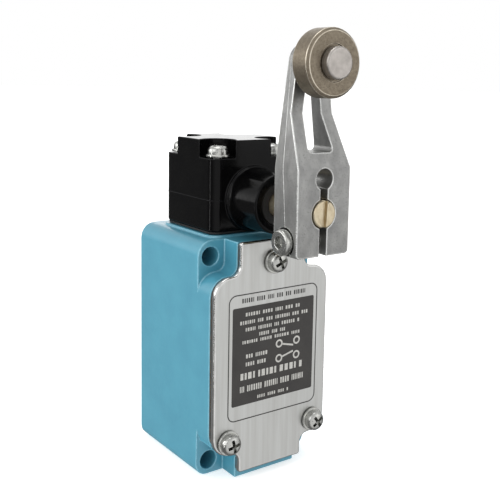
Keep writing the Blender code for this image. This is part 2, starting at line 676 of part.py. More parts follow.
def add_bosses(body):
    """Join the posts and bosses inside the cavity to the body."""
    top_z = COVER_SCREWS["top"][1]
    neck = TAB_TOP_HALF - BODY_WALL + 1.0 * MM
    face = BODY_FRONT + BOSS_SET_BACK
    bridge = box("boss_top", (-neck, face, top_z - BOSS_RADIUS),
                 (neck, face + BOSS_DEPTH, CAVITY_TOP + 1.0 * MM), CUTTERS)
    join(body, bridge)
    for name in ("lower_left", "lower_right"):
        screw_x, screw_z = COVER_SCREWS[name]
        side = 1 if screw_x > 0 else -1
        inner = screw_x - side * BOSS_RADIUS
        outer = side * (BODY_WIDTH / 2 - 1.0 * MM)
        low = (min(inner, outer), face, SHOULDER_BOTTOM + 1.6 * MM)
        high = (max(inner, outer), face + BOSS_DEPTH, screw_z + BOSS_RADIUS)
        join(body, box("boss_" + name, low, high, CUTTERS))
    post_front = CASE_BACK - SEAT_GAP
    for side in (-1, 1):
        for up in (1, -1):
            name = "post_%s_%s" % ("left" if side < 0 else "right", "upper" if up > 0 else "lower")
            post_z = BLOCK_SCREW_Z if up > 0 else CASE_BOTTOM + POST_RADIUS
            join(body, bar(name, POST_RADIUS, post_front, BACK_WALL - 0.5 * MM, "Y", CUTTERS,
                           at=(side * BLOCK_SCREW_X, 0, post_z)))
    join(body, bar("post_ground", POST_RADIUS, BACK_WALL + GROUND_POST_DEPTH, BACK_WALL - 0.5 * MM,
                   "Y", CUTTERS, at=(0, 0, GROUND_SCREW_Z)))


def cut_conduit(body):
    """Open the conduit inlet through the bottom wall."""
    shelf = BODY_BOTTOM + CONDUIT_DEPTH
    profile = [(0, CAVITY_BOTTOM + 0.5 * MM), (THROAT_RADIUS, CAVITY_BOTTOM + 0.5 * MM),
               (THROAT_RADIUS, shelf), (CONDUIT_RADIUS, shelf),
               (CONDUIT_RADIUS, BODY_BOTTOM - CUT_PAST), (0, BODY_BOTTOM - CUT_PAST)]
    cut(body, turned("conduit_bore", profile, group=CUTTERS, at=(0, HEAD_Y, 0), segments=32))


def cut_head_seat(body):
    """Open the top wall for the plunger's guide."""
    flange_floor = PAD_TOP - GUIDE_FLANGE - 2 * SEAT_GAP
    wide = GUIDE_FLANGE_RADIUS + HOLE_CLEARANCE
    slim = GUIDE_RADIUS + HOLE_CLEARANCE
    profile = [(0, PAD_TOP + CUT_PAST), (wide, PAD_TOP + CUT_PAST), (wide, flange_floor),
               (slim, flange_floor), (slim, GUIDE_BOTTOM - RUN_GAP), (0, GUIDE_BOTTOM - RUN_GAP)]
    cut(body, turned("guide_seat", profile, group=CUTTERS, at=(0, HEAD_Y, 0), segments=24))


def drill_mounting_holes(body):
    """Drill the four mounting holes from front to back."""
    for side in (-1, 1):
        for up in (-1, 1):
            name = "mounting_hole_%s_%s" % ("left" if side < 0 else "right", "low" if up < 0 else "high")
            place = (side * HOLE_SPACING_X / 2, 0, up * HOLE_SPACING_Z / 2)
            cut(body, bar(name, HOLE_RADIUS, RECESS_FLOOR + CUT_PAST, -CUT_PAST, "Y", CUTTERS, at=place))


def drill_screw_holes(body):
    """Drill the blind holes for the cover, head, contact block and ground screws."""
    for name, (screw_x, screw_z) in COVER_SCREWS.items():
        cut(body, bar("tapped_" + name, COVER_SCREW_RADIUS + HOLE_CLEARANCE, BODY_DEPTH + CUT_PAST,
                      BODY_DEPTH - COVER_SCREW_LENGTH + 0.5 * MM, "Y", CUTTERS,
                      at=(screw_x, 0, screw_z), segments=12))
    for index, (screw_x, screw_y) in enumerate(head_screw_places(), start=1):
        cut(body, bar("tapped_head_%d" % index, HEAD_SCREW_RADIUS + HOLE_CLEARANCE, PAD_TOP + CUT_PAST,
                      PAD_TOP - HEAD_SCREW_BITE - 0.5 * MM, "Z", CUTTERS,
                      at=(screw_x, screw_y, 0), segments=12))
    for side in (-1, 1):
        name = "tapped_block_" + ("left" if side < 0 else "right")
        cut(body, bar(name, BLOCK_SCREW_RADIUS + HOLE_CLEARANCE, CASE_BACK + CUT_PAST,
                      CASE_BACK - BLOCK_SCREW_BITE - 0.5 * MM, "Y", CUTTERS,
                      at=(side * BLOCK_SCREW_X, 0, BLOCK_SCREW_Z), segments=12))
    cut(body, bar("tapped_ground", BLOCK_SCREW_RADIUS + HOLE_CLEARANCE,
                  BACK_WALL + GROUND_POST_DEPTH + CUT_PAST, BACK_WALL + 0.7 * MM, "Y", CUTTERS,
                  at=(0, 0, GROUND_SCREW_Z), segments=12))


def make_cover_set():
    """Make the cover plate, its gasket, screws and washers."""
    holes = [circle(place, COVER_SCREW_RADIUS + HOLE_CLEARANCE, 12) for place in COVER_SCREWS.values()]
    gasket_loops = [body_front_outline(0.1 * MM), cavity_outline(-0.3 * MM)]
    gasket = extruded("cover_gasket", gasket_loops, BODY_FRONT - SEAT_GAP,
                      BODY_FRONT - SEAT_GAP - GASKET_THICKNESS, "Y", paint=CORK_RUBBER)
    for name, (screw_x, screw_z) in COVER_SCREWS.items():
        ear = bar("gasket_ear_" + name, BOSS_RADIUS, BODY_DEPTH + SEAT_GAP + GASKET_THICKNESS,
                  BODY_DEPTH + SEAT_GAP, "Y", CUTTERS, at=(screw_x, 0, screw_z), segments=16)
        join(gasket, ear)
        cut(gasket, bar("gasket_hole_" + name, COVER_SCREW_RADIUS + HOLE_CLEARANCE,
                        BODY_DEPTH + CUT_PAST, BODY_DEPTH - CUT_PAST, "Y", CUTTERS,
                        at=(screw_x, 0, screw_z), segments=12))
    outline = front_outline(COVER_WIDTH / 2, TAB_TOP_HALF + COVER_OVERHANG, COVER_TOP,
                            SHOULDER_TOP + COVER_OVERHANG, TAB_BOTTOM_HALF + COVER_OVERHANG,
                            COVER_BOTTOM, SHOULDER_BOTTOM - COVER_OVERHANG, 0.8 * MM)
    extruded("cover_plate", [outline] + holes, COVER_REAR, COVER_FRONT, "Y", paint=SATIN_STEEL)
    screw = cross_screw_mesh("cover_screw", ZINC, COVER_SCREW_HEAD, COVER_SCREW_RADIUS, COVER_SCREW_LENGTH)
    washer = washer_mesh("cover_washer", ZINC, COVER_SCREW_RADIUS + RUN_GAP)
    for name, (screw_x, screw_z) in COVER_SCREWS.items():
        placed("cover_washer_" + name, washer, (screw_x, COVER_FRONT - SEAT_GAP, screw_z), FACE_FRONT)
        placed("cover_screw_" + name, screw, (screw_x, COVER_FRONT - SCREW_SEAT, screw_z), FACE_FRONT)


# ---------------------------------------------------------------- head

def head_screw_places():
    """Return the four screw axes of the head, as (x, y)."""
    reach = HEAD_SCREW_PITCH / 2
    return [(side * reach, HEAD_Y + back * reach) for side in (-1, 1) for back in (-1, 1)]


def make_head():
    """Make the head housing, its gasket, screws and washers."""
    half = HEAD_SIDE / 2
    outline = rectangle((-half, HEAD_Y - half), (half, HEAD_Y + half), HEAD_CORNER)
    head = extruded("head_housing", [outline], HEAD_BASE, HEAD_TOP, "Z", paint=BLACK_ENAMEL)
    face = -HEAD_FRONT
    hub_front = -HUB_FRONT
    flange = face + HUB_FLANGE_THICKNESS
    profile = [(0, hub_front), (HUB_RADIUS - 0.5 * MM, hub_front), (HUB_RADIUS, hub_front - 0.5 * MM),
               (HUB_RADIUS + 0.3 * MM, flange + 1.2 * MM), (HUB_RADIUS + 0.7 * MM, flange),
               (HUB_FLANGE_RADIUS, flange - 0.2 * MM), (HUB_FLANGE_RADIUS, face - 0.15 * MM),
               (HUB_RADIUS - 0.5 * MM, face - 0.15 * MM), (HUB_RADIUS - 0.5 * MM, face - 4 * MM),
               (0, face - 4 * MM)]
    join(head, turned("hub", profile, "Y", CUTTERS, at=SHAFT_AXIS, segments=32))
    cut(head, bar("head_hollow", HEAD_HOLLOW_RADIUS, HEAD_HOLLOW_TOP, HEAD_BASE - CUT_PAST,
                  group=CUTTERS, at=(0, HEAD_Y, 0), segments=36))
    bore = SHAFT_RADIUS + RUN_GAP + BUSH_WALL + SEAT_GAP
    seal_bore = SHAFT_RADIUS + RUN_GAP + SEAL_WALL + SEAT_GAP
    seal_floor = hub_front - SEAL_THICKNESS - 2 * SEAT_GAP
    tail_floor = -HEAD_Y - HEAD_HOLLOW_RADIUS - SHAFT_TAIL_LENGTH - RUN_GAP
    tail_bore = SHAFT_TAIL_RADIUS + RUN_GAP
    profile = [(0, hub_front + CUT_PAST), (seal_bore, hub_front + CUT_PAST), (seal_bore, seal_floor),
               (bore, seal_floor), (bore, -HEAD_Y), (tail_bore, -HEAD_Y), (tail_bore, tail_floor),
               (0, tail_floor)]
    cut(head, turned("shaft_bore", profile, "Y", CUTTERS, at=SHAFT_AXIS, segments=24))
    hole = HEAD_SCREW_RADIUS + HOLE_CLEARANCE
    for index, (screw_x, screw_y) in enumerate(head_screw_places(), start=1):
        profile = [(0, HEAD_TOP + CUT_PAST), (POCKET_RADIUS, HEAD_TOP + CUT_PAST),
                   (POCKET_RADIUS, POCKET_FLOOR), (hole, POCKET_FLOOR),
                   (hole, HEAD_BASE - CUT_PAST), (0, HEAD_BASE - CUT_PAST)]
        cut(head, turned("pocket_%d" % index, profile, group=CUTTERS, at=(screw_x, screw_y, 0)))
    weld(head)
    make_head_gasket()
    make_head_screws()


def make_head_gasket():
    """Make the gasket between head and body."""
    half = HEAD_SIDE / 2 - 0.2 * MM
    outline = rectangle((-half, HEAD_Y - half), (half, HEAD_Y + half), HEAD_CORNER)
    holes = [circle(place, HEAD_SCREW_RADIUS + HOLE_CLEARANCE, 12) for place in head_screw_places()]
    middle = circle((0, HEAD_Y), GUIDE_RADIUS + HOLE_CLEARANCE, 24)
    low = PAD_TOP + SEAT_GAP
    extruded("head_gasket", [outline, middle] + holes, low, low + HEAD_GASKET, "Z", paint=BLACK_RUBBER)


def make_head_screws():
    """Make the four head screws and their washers."""
    seat = POCKET_FLOOR + SCREW_SEAT
    length = seat - PAD_TOP + HEAD_SCREW_BITE
    screw = cross_screw_mesh("head_screw", ZINC, HEAD_SCREW_HEAD, HEAD_SCREW_RADIUS, length)
    washer = washer_mesh("head_washer", ZINC, HEAD_SCREW_RADIUS + RUN_GAP)
    for index, (screw_x, screw_y) in enumerate(head_screw_places(), start=1):
        placed("head_washer_%d" % index, washer, (screw_x, screw_y, POCKET_FLOOR + SEAT_GAP))
        placed("head_screw_%d" % index, screw, (screw_x, screw_y, seat))


def make_shaft_bearing():
    """Make the bush and the seal in the hub."""
    inner = SHAFT_RADIUS + RUN_GAP
    seal_front = -HUB_FRONT - SEAT_GAP
    seal_back = seal_front - SEAL_THICKNESS
    bush_front = seal_back - 2 * SEAT_GAP
    bush_back = -HEAD_FRONT - 3.2 * MM
    tube("shaft_seal", inner + SEAL_WALL, inner, seal_front, seal_back, "Y", paint=BLACK_RUBBER,
         at=SHAFT_AXIS)
    tube("shaft_bush", inner + BUSH_WALL, inner, bush_front, bush_back, "Y", paint=BRONZE,
         at=SHAFT_AXIS)


# ---------------------------------------------------------------- shaft and lever

def make_shaft():
    """Return the pieces that turn inside the head: shaft, ring, cam and pin."""
    front = -LEVER_FRONT + SHAFT_PROUD
    centre = -HEAD_Y
    tail_start = centre - sqrt(HEAD_HOLLOW_RADIUS ** 2 - SHAFT_RADIUS ** 2) + RUN_GAP
    tail_end = centre - HEAD_HOLLOW_RADIUS - SHAFT_TAIL_LENGTH
    ring_back = centre + RING_OFFSET
    groove = SHAFT_RADIUS - RING_GROOVE
    profile = [(0, front), (SHAFT_RADIUS - 0.3 * MM, front), (SHAFT_RADIUS, front - 0.3 * MM),
               (SHAFT_RADIUS, ring_back + RING_THICKNESS + SEAT_GAP),
               (groove, ring_back + RING_THICKNESS + SEAT_GAP), (groove, ring_back - SEAT_GAP),
               (SHAFT_RADIUS, ring_back - SEAT_GAP), (SHAFT_RADIUS, tail_start),
               (SHAFT_TAIL_RADIUS, tail_start), (SHAFT_TAIL_RADIUS, tail_end), (0, tail_end)]
    shaft = turned("rotary_shaft", profile, "Y", paint=SHAFT_BRASS, at=SHAFT_AXIS, segments=24)
    reach = SHAFT_RADIUS + CUT_PAST
    slot = box("shaft_slot", (-SHAFT_SLOT_WIDTH / 2, -front - CUT_PAST, -reach),
               (SHAFT_SLOT_WIDTH / 2, -front + SHAFT_SLOT_DEPTH, reach), CUTTERS, at=SHAFT_AXIS)
    slot.rotation_euler = (0, SHAFT_SLOT_TURN, 0)
    cut(shaft, slot)
    pin_hole = CAM_PIN_RADIUS + RUN_GAP
    hole_end = CAM_RADIUS + CUT_PAST
    hole = bar("pin_hole", pin_hole, hole_end, -hole_end, "X", CUTTERS,
               at=(0, HEAD_Y, SHAFT_HEIGHT), segments=12)
    cut(shaft, hole)
    ring = tube("shaft_ring", RING_RADIUS, groove + SEAT_GAP, ring_back + RING_THICKNESS, ring_back,
                "Y", paint=SPRING_STEEL, at=SHAFT_AXIS, segments=24)
    mouth = 0.7 * groove
    cut(ring, box("ring_mouth", (-mouth, -ring_back - CUT_PAST, -RING_RADIUS - CUT_PAST),
                  (mouth, -ring_back + CUT_PAST, -0.5 * groove), CUTTERS, at=SHAFT_AXIS))
    cam_ends = (HEAD_Y - CAM_LENGTH / 2, HEAD_Y + CAM_LENGTH / 2)
    cam_loops = [circle((0, 0), CAM_RADIUS, 24), circle((0, 0), SHAFT_RADIUS + SEAT_GAP, 24)]
    cam = extruded("shaft_cam", cam_loops, *cam_ends, "Y", paint=SPRING_STEEL, at=SHAFT_AXIS)
    below = CAM_RADIUS + CUT_PAST
    cut(cam, box("cam_flat", (-below, cam_ends[0] - CUT_PAST, -below),
                 (below, cam_ends[1] + CUT_PAST, -CAM_FLAT), CUTTERS, at=SHAFT_AXIS))
    cut(cam, hole)
    pin_end = CAM_RADIUS - 0.15 * MM
    pin = bar("cam_pin", CAM_PIN_RADIUS, pin_end, -pin_end, "X", paint=PIN_STEEL,
              at=(0, HEAD_Y, SHAFT_HEIGHT), segments=12)
    return [shaft, ring, cam, pin]


def lever_front_outline():
    """Return the lever seen from the front, in (X, Z) from the shaft's axis."""
    taper_start = LEVER_KINK
    tip = [(LEVER_TIP_RADIUS * cos(angle), LEVER_LENGTH + LEVER_TIP_RADIUS * sin(angle))
           for angle in [pi * step / 12 for step in range(13)]]
    corners = [(-LEVER_HALF_WIDTH, taper_start), (-LEVER_HALF_WIDTH, -LEVER_BELOW, LEVER_CORNER),
               (LEVER_HALF_WIDTH, -LEVER_BELOW, LEVER_CORNER), (LEVER_HALF_WIDTH, taper_start)]
    return rounded(corners + tip)


def make_lever():
    """Return the lever with its clamp screw and washer."""
    lever = extruded("lever_arm", [lever_front_outline()], -LEVER_BACK, LEVER_FRONT, "Y",
                     paint=CAST_ALUMINIUM, at=SHAFT_AXIS)
    top = LEVER_LENGTH + LEVER_TIP_RADIUS + CUT_PAST
    slope = [(LEVER_FRONT, LEVER_KINK), (ARM_FRONT, LEVER_SLOPE_END), (ARM_FRONT, top),
             (LEVER_FRONT - CUT_PAST, top), (LEVER_FRONT - CUT_PAST, LEVER_KINK)]
    wide = LEVER_HALF_WIDTH + CUT_PAST
    cut(lever, extruded("lever_slope", [rounded(slope)], -wide, wide, "X", CUTTERS, at=SHAFT_AXIS))
    back = -LEVER_BACK + CUT_PAST
    front = LEVER_FRONT - CUT_PAST
    window = rounded([(-WINDOW_HALF_BOTTOM, WINDOW_BOTTOM, WINDOW_CORNER_BOTTOM),
                      (WINDOW_HALF_BOTTOM, WINDOW_BOTTOM, WINDOW_CORNER_BOTTOM),
                      (WINDOW_HALF_TOP, WINDOW_TOP, WINDOW_CORNER_TOP),
                      (-WINDOW_HALF_TOP, WINDOW_TOP, WINDOW_CORNER_TOP)])
    cut(lever, extruded("lever_window", [window], back, front, "Y", CUTTERS, at=SHAFT_AXIS))
    cut(lever, bar("lever_bore", LEVER_BORE, -front, -back, "Y", CUTTERS, at=SHAFT_AXIS, segments=32))
    slit = [rectangle((-LEVER_SLIT / 2, -LEVER_BELOW - CUT_PAST), (LEVER_SLIT / 2, LEVER_RELIEF_HEIGHT))]
    cut(lever, extruded("lever_slit", slit, back, front, "Y", CUTTERS, at=SHAFT_AXIS))
    relief = bar("lever_relief", LEVER_RELIEF_RADIUS, -front, -back, "Y", CUTTERS,
                 at=SHAFT_AXIS + Vector((0, 0, LEVER_RELIEF_HEIGHT)), segments=24)
    cut(lever, relief)
    cut(lever, bar("pin_bore", PIN_RADIUS + SEAT_GAP, -front, -back, "Y", CUTTERS, at=ROLLER_AXIS,
                   segments=24))
    clamp = SHAFT_AXIS + Vector((0, -LEVER_BACK - LEVER_BLOCK_DEPTH / 2, -CLAMP_DROP))
    sunk = LEVER_HALF_WIDTH - CLAMP_HEAD_SUNK
    hole = CLAMP_RADIUS + HOLE_CLEARANCE
    profile = [(0, LEVER_HALF_WIDTH + CUT_PAST), (CLAMP_HEAD_RADIUS + RUN_GAP, LEVER_HALF_WIDTH + CUT_PAST),
               (CLAMP_HEAD_RADIUS + RUN_GAP, sunk), (hole, sunk), (hole, -LEVER_HALF_WIDTH - CUT_PAST),
               (0, -LEVER_HALF_WIDTH - CUT_PAST)]
    cut(lever, turned("clamp_hole", profile, "X", CUTTERS, at=clamp, segments=24))
    washer = tube("clamp_washer", CLAMP_HEAD_RADIUS, CLAMP_RADIUS + RUN_GAP, sunk + SEAT_GAP + CLAMP_WASHER,
                  sunk + SEAT_GAP, "X", paint=SPRING_STEEL, at=clamp, segments=24)
    seat = sunk + CLAMP_WASHER + 2 * SEAT_GAP
    return [lever, washer, make_clamp_screw(clamp, seat)]


def make_clamp_screw(place, seat):
    """Return the socket-head screw that closes the lever on the shaft."""
    top = seat + CLAMP_HEAD_HEIGHT
    tip = -LEVER_HALF_WIDTH + CLAMP_END_SHORT
    edge = 0.4 * MM
    profile = [(0, top), (CLAMP_HEAD_RADIUS - edge, top), (CLAMP_HEAD_RADIUS, top - edge),
               (CLAMP_HEAD_RADIUS, seat), (CLAMP_RADIUS, seat), (CLAMP_RADIUS, tip), (0, tip)]
    screw = turned("clamp_screw", profile, "X", paint=ZINC, at=place, segments=24)
    socket = bar("clamp_socket", CLAMP_SOCKET_RADIUS, top + CUT_PAST, top - CLAMP_SOCKET_DEPTH, "X",
                 CUTTERS, at=place, segments=6)
    cut(screw, socket)
    return screw


def make_roller_set():
    """Return the roller, then the pin and washer that stay with the lever."""
    arm = -ARM_FRONT
    back = arm + SEAT_GAP + ROLLER_WASHER + RUN_GAP
    front = back + ROLLER_WIDTH
    edge = ROLLER_EDGE
    dish = front - ROLLER_DISH
    profile = [(ROLLER_BORE, dish), (ROLLER_DISH_RADIUS, dish), (ROLLER_DISH_RADIUS, front),
               (ROLLER_RADIUS - edge, front), (ROLLER_RADIUS, front - edge), (ROLLER_RADIUS, back + edge),
               (ROLLER_RADIUS - edge, back), (ROLLER_BORE, back), (ROLLER_BORE, dish)]
    roller = turned("roller", profile, "Y", paint=SINTERED_STEEL, at=ROLLER_AXIS, segments=40)
    head = dish + RUN_GAP
    head_top = front + RUN_GAP + PIN_HEAD_HEIGHT
    tail = LEVER_BACK - SEAT_GAP
    profile = [(0, head_top), (PIN_HEAD_RADIUS - PIN_EDGE, head_top), (PIN_HEAD_RADIUS, head_top - PIN_EDGE),
               (PIN_HEAD_RADIUS, head), (PIN_RADIUS, head), (PIN_RADIUS, tail),
               (PIN_TAIL_RADIUS, tail), (PIN_TAIL_RADIUS - 0.5 * PIN_TAIL_HEIGHT, tail - PIN_TAIL_HEIGHT),
               (0, tail - PIN_TAIL_HEIGHT)]
    pin = turned("roller_pin", profile, "Y", paint=PIN_STEEL, at=ROLLER_AXIS, segments=24)
    washer = tube("roller_washer", PIN_WASHER_RADIUS, PIN_RADIUS + SEAT_GAP,
                  arm + SEAT_GAP + ROLLER_WASHER, arm + SEAT_GAP, "Y", paint=PIN_STEEL,
                  at=ROLLER_AXIS, segments=24)
    return [roller, pin, washer]


# ---------------------------------------------------------------- plunger

def coil(name, radius, wire, low, high, turns, paint, at):
    """Return a compression spring between two heights, with its end turns flattened."""
    steps = 10
    curve = bpy.data.curves.new(name, 'CURVE')
    curve.dimensions = '3D'
    curve.bevel_depth = wire / 2
    curve.bevel_resolution = 1
    curve.use_fill_caps = True
    spline = curve.splines.new('POLY')
    count = turns * steps + 1
    spline.points.add(count - 1)
    base = low + wire / 2
    rise = high - low - wire
    for index in range(count):
        share = index / (count - 1)
        eased = share - sin(2 * pi * share) * 0.5 / (2 * pi)
        angle = 2 * pi * turns * share
        spline.points[index].co = (radius * cos(angle), radius * sin(angle), base + rise * eased, 1)
    made = bpy.data.objects.new(name, curve)
    made.location = at
    return link(made, PARTS, paint)


def make_plunger_set():
    """Return the plunger and its spring, and make the guide."""
    axis = (0, HEAD_Y, 0)
    disc_bottom = PLUNGER_DISC_TOP - PLUNGER_DISC
    bottom = BUTTON_TOP + SEAT_GAP
    profile = [(0, PLUNGER_DISC_TOP), (PLUNGER_DISC_RADIUS, PLUNGER_DISC_TOP),
               (PLUNGER_DISC_RADIUS, disc_bottom), (PLUNGER_RADIUS, disc_bottom),
               (PLUNGER_RADIUS, bottom + 0.5 * MM), (PLUNGER_RADIUS - 0.6 * MM, bottom), (0, bottom)]
    plunger = turned("plunger", profile, paint=PIN_STEEL, at=axis, segments=24)
    inner = GUIDE_RADIUS - GUIDE_WALL
    flange_top = PAD_TOP - SEAT_GAP
    flange_bottom = flange_top - GUIDE_FLANGE
    floor = GUIDE_BOTTOM + GUIDE_FLOOR
    hole = PLUNGER_RADIUS + RUN_GAP
    profile = [(GUIDE_FLANGE_RADIUS, flange_top), (GUIDE_FLANGE_RADIUS, flange_bottom),
               (GUIDE_RADIUS, flange_bottom), (GUIDE_RADIUS, GUIDE_BOTTOM), (hole, GUIDE_BOTTOM),
               (hole, floor), (inner, floor), (inner, flange_top), (GUIDE_FLANGE_RADIUS, flange_top)]
    turned("plunger_guide", profile, paint=BRASS, at=axis, segments=24)
    mean = (inner + hole) / 2
    spring = coil("return_spring", mean, RETURN_SPRING_WIRE, floor + SEAT_GAP, disc_bottom - SEAT_GAP,
                  RETURN_SPRING_TURNS, SPRING_STEEL, axis)
    return [plunger, spring]


# ---------------------------------------------------------------- contact block

def make_case():
    """Make the contact block's moulded case and its lid."""
    wide = CASE_HALF_WIDTH
    front = -CASE_FRONT
    ledge = front + CASE_LEDGE_SET_BACK
    case = extruded("switch_case", [rectangle((-wide, CASE_BOTTOM), (wide, CASE_TOP), CASE_CORNER)],
                    -CASE_BACK, front, "Y", paint=PHENOLIC)
    room_half = wide - CASE_WALL
    cut(case, box("case_room", (-room_half, front - CUT_PAST, CASE_ROOM_BOTTOM),
                  (room_half, -CASE_ROOM_BACK, CASE_ROOM_TOP), CUTTERS))
    cut(case, box("case_ledge", (-wide - CUT_PAST, front - CUT_PAST, CASE_BOTTOM - CUT_PAST),
                  (wide + CUT_PAST, ledge, CASE_LEDGE_TOP), CUTTERS))
    slot_half = STRIP_WIDTH / 2 + SEAT_GAP
    screw_z = CASE_LEDGE_TOP - STRIP_SCREW_DROP
    for index, centre in enumerate(STRIP_CENTRES, start=1):
        low = (centre - slot_half, front - CUT_PAST, CASE_LEDGE_TOP - 1.0 * MM)
        high = (centre + slot_half, ledge, CASE_ROOM_BOTTOM + 1.0 * MM)
        cut(case, box("strip_slot_%d" % index, low, high, CUTTERS))
        cut(case, bar("strip_tap_%d" % index, TERMINAL_SCREW_RADIUS + HOLE_CLEARANCE,
                      -ledge + CUT_PAST, -ledge - TERMINAL_SCREW_LENGTH - 0.9 * MM, "Y", CUTTERS,
                      at=(centre, 0, screw_z),
                      segments=12))
    cut(case, bar("button_hole", BUTTON_RADIUS + RUN_GAP, CASE_TOP + CUT_PAST, CASE_ROOM_TOP - CUT_PAST,
                  "Z", CUTTERS, at=(0, HEAD_Y, 0), segments=20))
    hole = BLOCK_SCREW_RADIUS + HOLE_CLEARANCE
    for side in (-1, 1):
        name = "block_hole_" + ("left" if side < 0 else "right")
        cut(case, bar(name, hole, CASE_FRONT + CUT_PAST, CASE_BACK - CUT_PAST, "Y", CUTTERS,
                      at=(side * BLOCK_SCREW_X, 0, BLOCK_SCREW_Z), segments=12))
    lid_holes = [circle((side * BLOCK_SCREW_X, BLOCK_SCREW_Z), hole, 12) for side in (-1, 1)]
    lid = rectangle((-wide, CASE_LEDGE_TOP + SEAT_GAP), (wide, CASE_TOP), CASE_CORNER)
    extruded("switch_case_cover", [lid] + lid_holes, front - SEAT_GAP, CASE_LID_FRONT, "Y", paint=PHENOLIC)
    length = -CASE_LID_FRONT + SEAT_GAP - CASE_BACK + BLOCK_SCREW_BITE
    screw = slotted_screw_mesh("block_screw", ZINC, BLOCK_SCREW_HEAD, BLOCK_SCREW_HEIGHT,
                               BLOCK_SCREW_RADIUS, length)
    for index, side in enumerate((-1, 1), start=1):
        placed("block_screw_%d" % index, screw,
               (side * BLOCK_SCREW_X, CASE_LID_FRONT - SEAT_GAP, BLOCK_SCREW_Z), FACE_FRONT)
    ground = slotted_screw_mesh("ground_screw", GREEN_PLATE, BLOCK_SCREW_HEAD, BLOCK_SCREW_HEIGHT,
                                BLOCK_SCREW_RADIUS, GROUND_POST_DEPTH - 1.0 * MM)
    placed("ground_screw", ground, (0, -BACK_WALL - GROUND_POST_DEPTH - SEAT_GAP, GROUND_SCREW_Z),
           FACE_FRONT)


def make_terminals():
    """Make the four terminal strips, each with its fixed contact, and their screws."""
    ledge = -CASE_FRONT + CASE_LEDGE_SET_BACK
    strip_back = ledge - SEAT_GAP
    strip_front = strip_back - STRIP_THICKNESS
    shelf_end = HEAD_Y + BRIDGE_HALF_WIDTH
    low = CASE_BOTTOM + 0.3 * MM
    upper_shelf = BRIDGE_TOP + RUN_GAP + STRIP_THICKNESS
    lower_shelf = BRIDGE_BOTTOM - CONTACT_TRAVEL - RUN_GAP
    screw_z = CASE_LEDGE_TOP - STRIP_SCREW_DROP
    screw = slotted_screw_mesh("terminal_screw", BRASS, TERMINAL_SCREW_HEAD, TERMINAL_SCREW_HEIGHT,
                               TERMINAL_SCREW_RADIUS, TERMINAL_SCREW_LENGTH)
    for index, centre in enumerate(STRIP_CENTRES, start=1):
        top = upper_shelf if abs(centre) > abs(STRIP_CENTRES[1]) else lower_shelf
        bend = [(strip_front, low), (strip_back, low), (strip_back, top - STRIP_THICKNESS),
                (shelf_end, top - STRIP_THICKNESS), (shelf_end, top), (strip_front, top)]
        strip = extruded("terminal_%d" % index, [rounded(bend)], centre - STRIP_WIDTH / 2,
                         centre + STRIP_WIDTH / 2, "X", paint=BRASS)
        cut(strip, bar("terminal_hole_%d" % index, TERMINAL_SCREW_RADIUS + RUN_GAP,
                       -strip_front + CUT_PAST, -strip_back - CUT_PAST, "Y", CUTTERS,
                       at=(centre, 0, screw_z), segments=12))
        placed("terminal_screw_%d" % index, screw, (centre, strip_front - SEAT_GAP, screw_z), FACE_FRONT)


def make_button():
    """Return the switch's button."""
    shoulder = BRIDGE_TOP + RUN_GAP
    tip = CASE_ROOM_BOTTOM + PLUNGER_TRAVEL + RUN_GAP
    edge = 0.5 * MM
    profile = [(0, BUTTON_TOP), (BUTTON_RADIUS - edge, BUTTON_TOP), (BUTTON_RADIUS, BUTTON_TOP - edge),
               (BUTTON_RADIUS, shoulder), (BUTTON_STEM_RADIUS, shoulder), (BUTTON_STEM_RADIUS, tip),
               (0, tip)]
    return turned("switch_button", profile, paint=WHITE_NYLON, at=(0, HEAD_Y, 0), segments=20)


def make_contact_bridge():
    """Return the moving contact bridge and its spring."""
    loops = [rectangle((-BRIDGE_HALF_LENGTH, HEAD_Y - BRIDGE_HALF_WIDTH),
                       (BRIDGE_HALF_LENGTH, HEAD_Y + BRIDGE_HALF_WIDTH), 0.6 * MM),
             circle((0, HEAD_Y), BUTTON_STEM_RADIUS + RUN_GAP, 16)]
    bridge = extruded("contact_bridge", loops, BRIDGE_BOTTOM, BRIDGE_TOP, "Z", paint=BRASS)
    mean = BUTTON_STEM_RADIUS + RUN_GAP + CONTACT_SPRING_WIRE
    spring = coil("contact_spring", mean, CONTACT_SPRING_WIRE, CASE_ROOM_BOTTOM + SEAT_GAP,
                  BRIDGE_BOTTOM - SEAT_GAP, CONTACT_SPRING_TURNS, SPRING_STEEL, (0, HEAD_Y, 0))
    return [bridge, spring]


# ---------------------------------------------------------------- assembly

def main():
    """Build every piece and hang the moving ones on their pivots."""
    make_body()
    make_cover_set()
    make_head()
    make_shaft_bearing()
    lever_pivot = pivot("lever_pivot", SHAFT_AXIS)
    carry(lever_pivot, SHAFT_AXIS, make_shaft() + make_lever())
    roller, pin, washer = make_roller_set()
    carry(lever_pivot, SHAFT_AXIS, [pin, washer])
    roller_pivot = pivot("roller_pivot", ROLLER_AXIS, lever_pivot)
    carry(roller_pivot, ROLLER_AXIS, [roller])
    plunger_axis = Vector((0, HEAD_Y, PLUNGER_DISC_TOP))
    carry(pivot("plunger_pivot", plunger_axis), plunger_axis, make_plunger_set())
    make_case()
    make_terminals()
    button_axis = Vector((0, HEAD_Y, BUTTON_TOP))
    carry(pivot("button_pivot", button_axis), button_axis, [make_button()])
    bridge_axis = Vector((0, HEAD_Y, BRIDGE_TOP))
    carry(pivot("bridge_pivot", bridge_axis), bridge_axis, make_contact_bridge())


main()
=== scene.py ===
"""Looks of a roller lever limit switch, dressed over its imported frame."""
import logging
import math
import random
from dataclasses import dataclass
from enum import Enum
from typing import Callable, Optional, Sequence

import bmesh
import bpy
from mathutils import Matrix, Vector


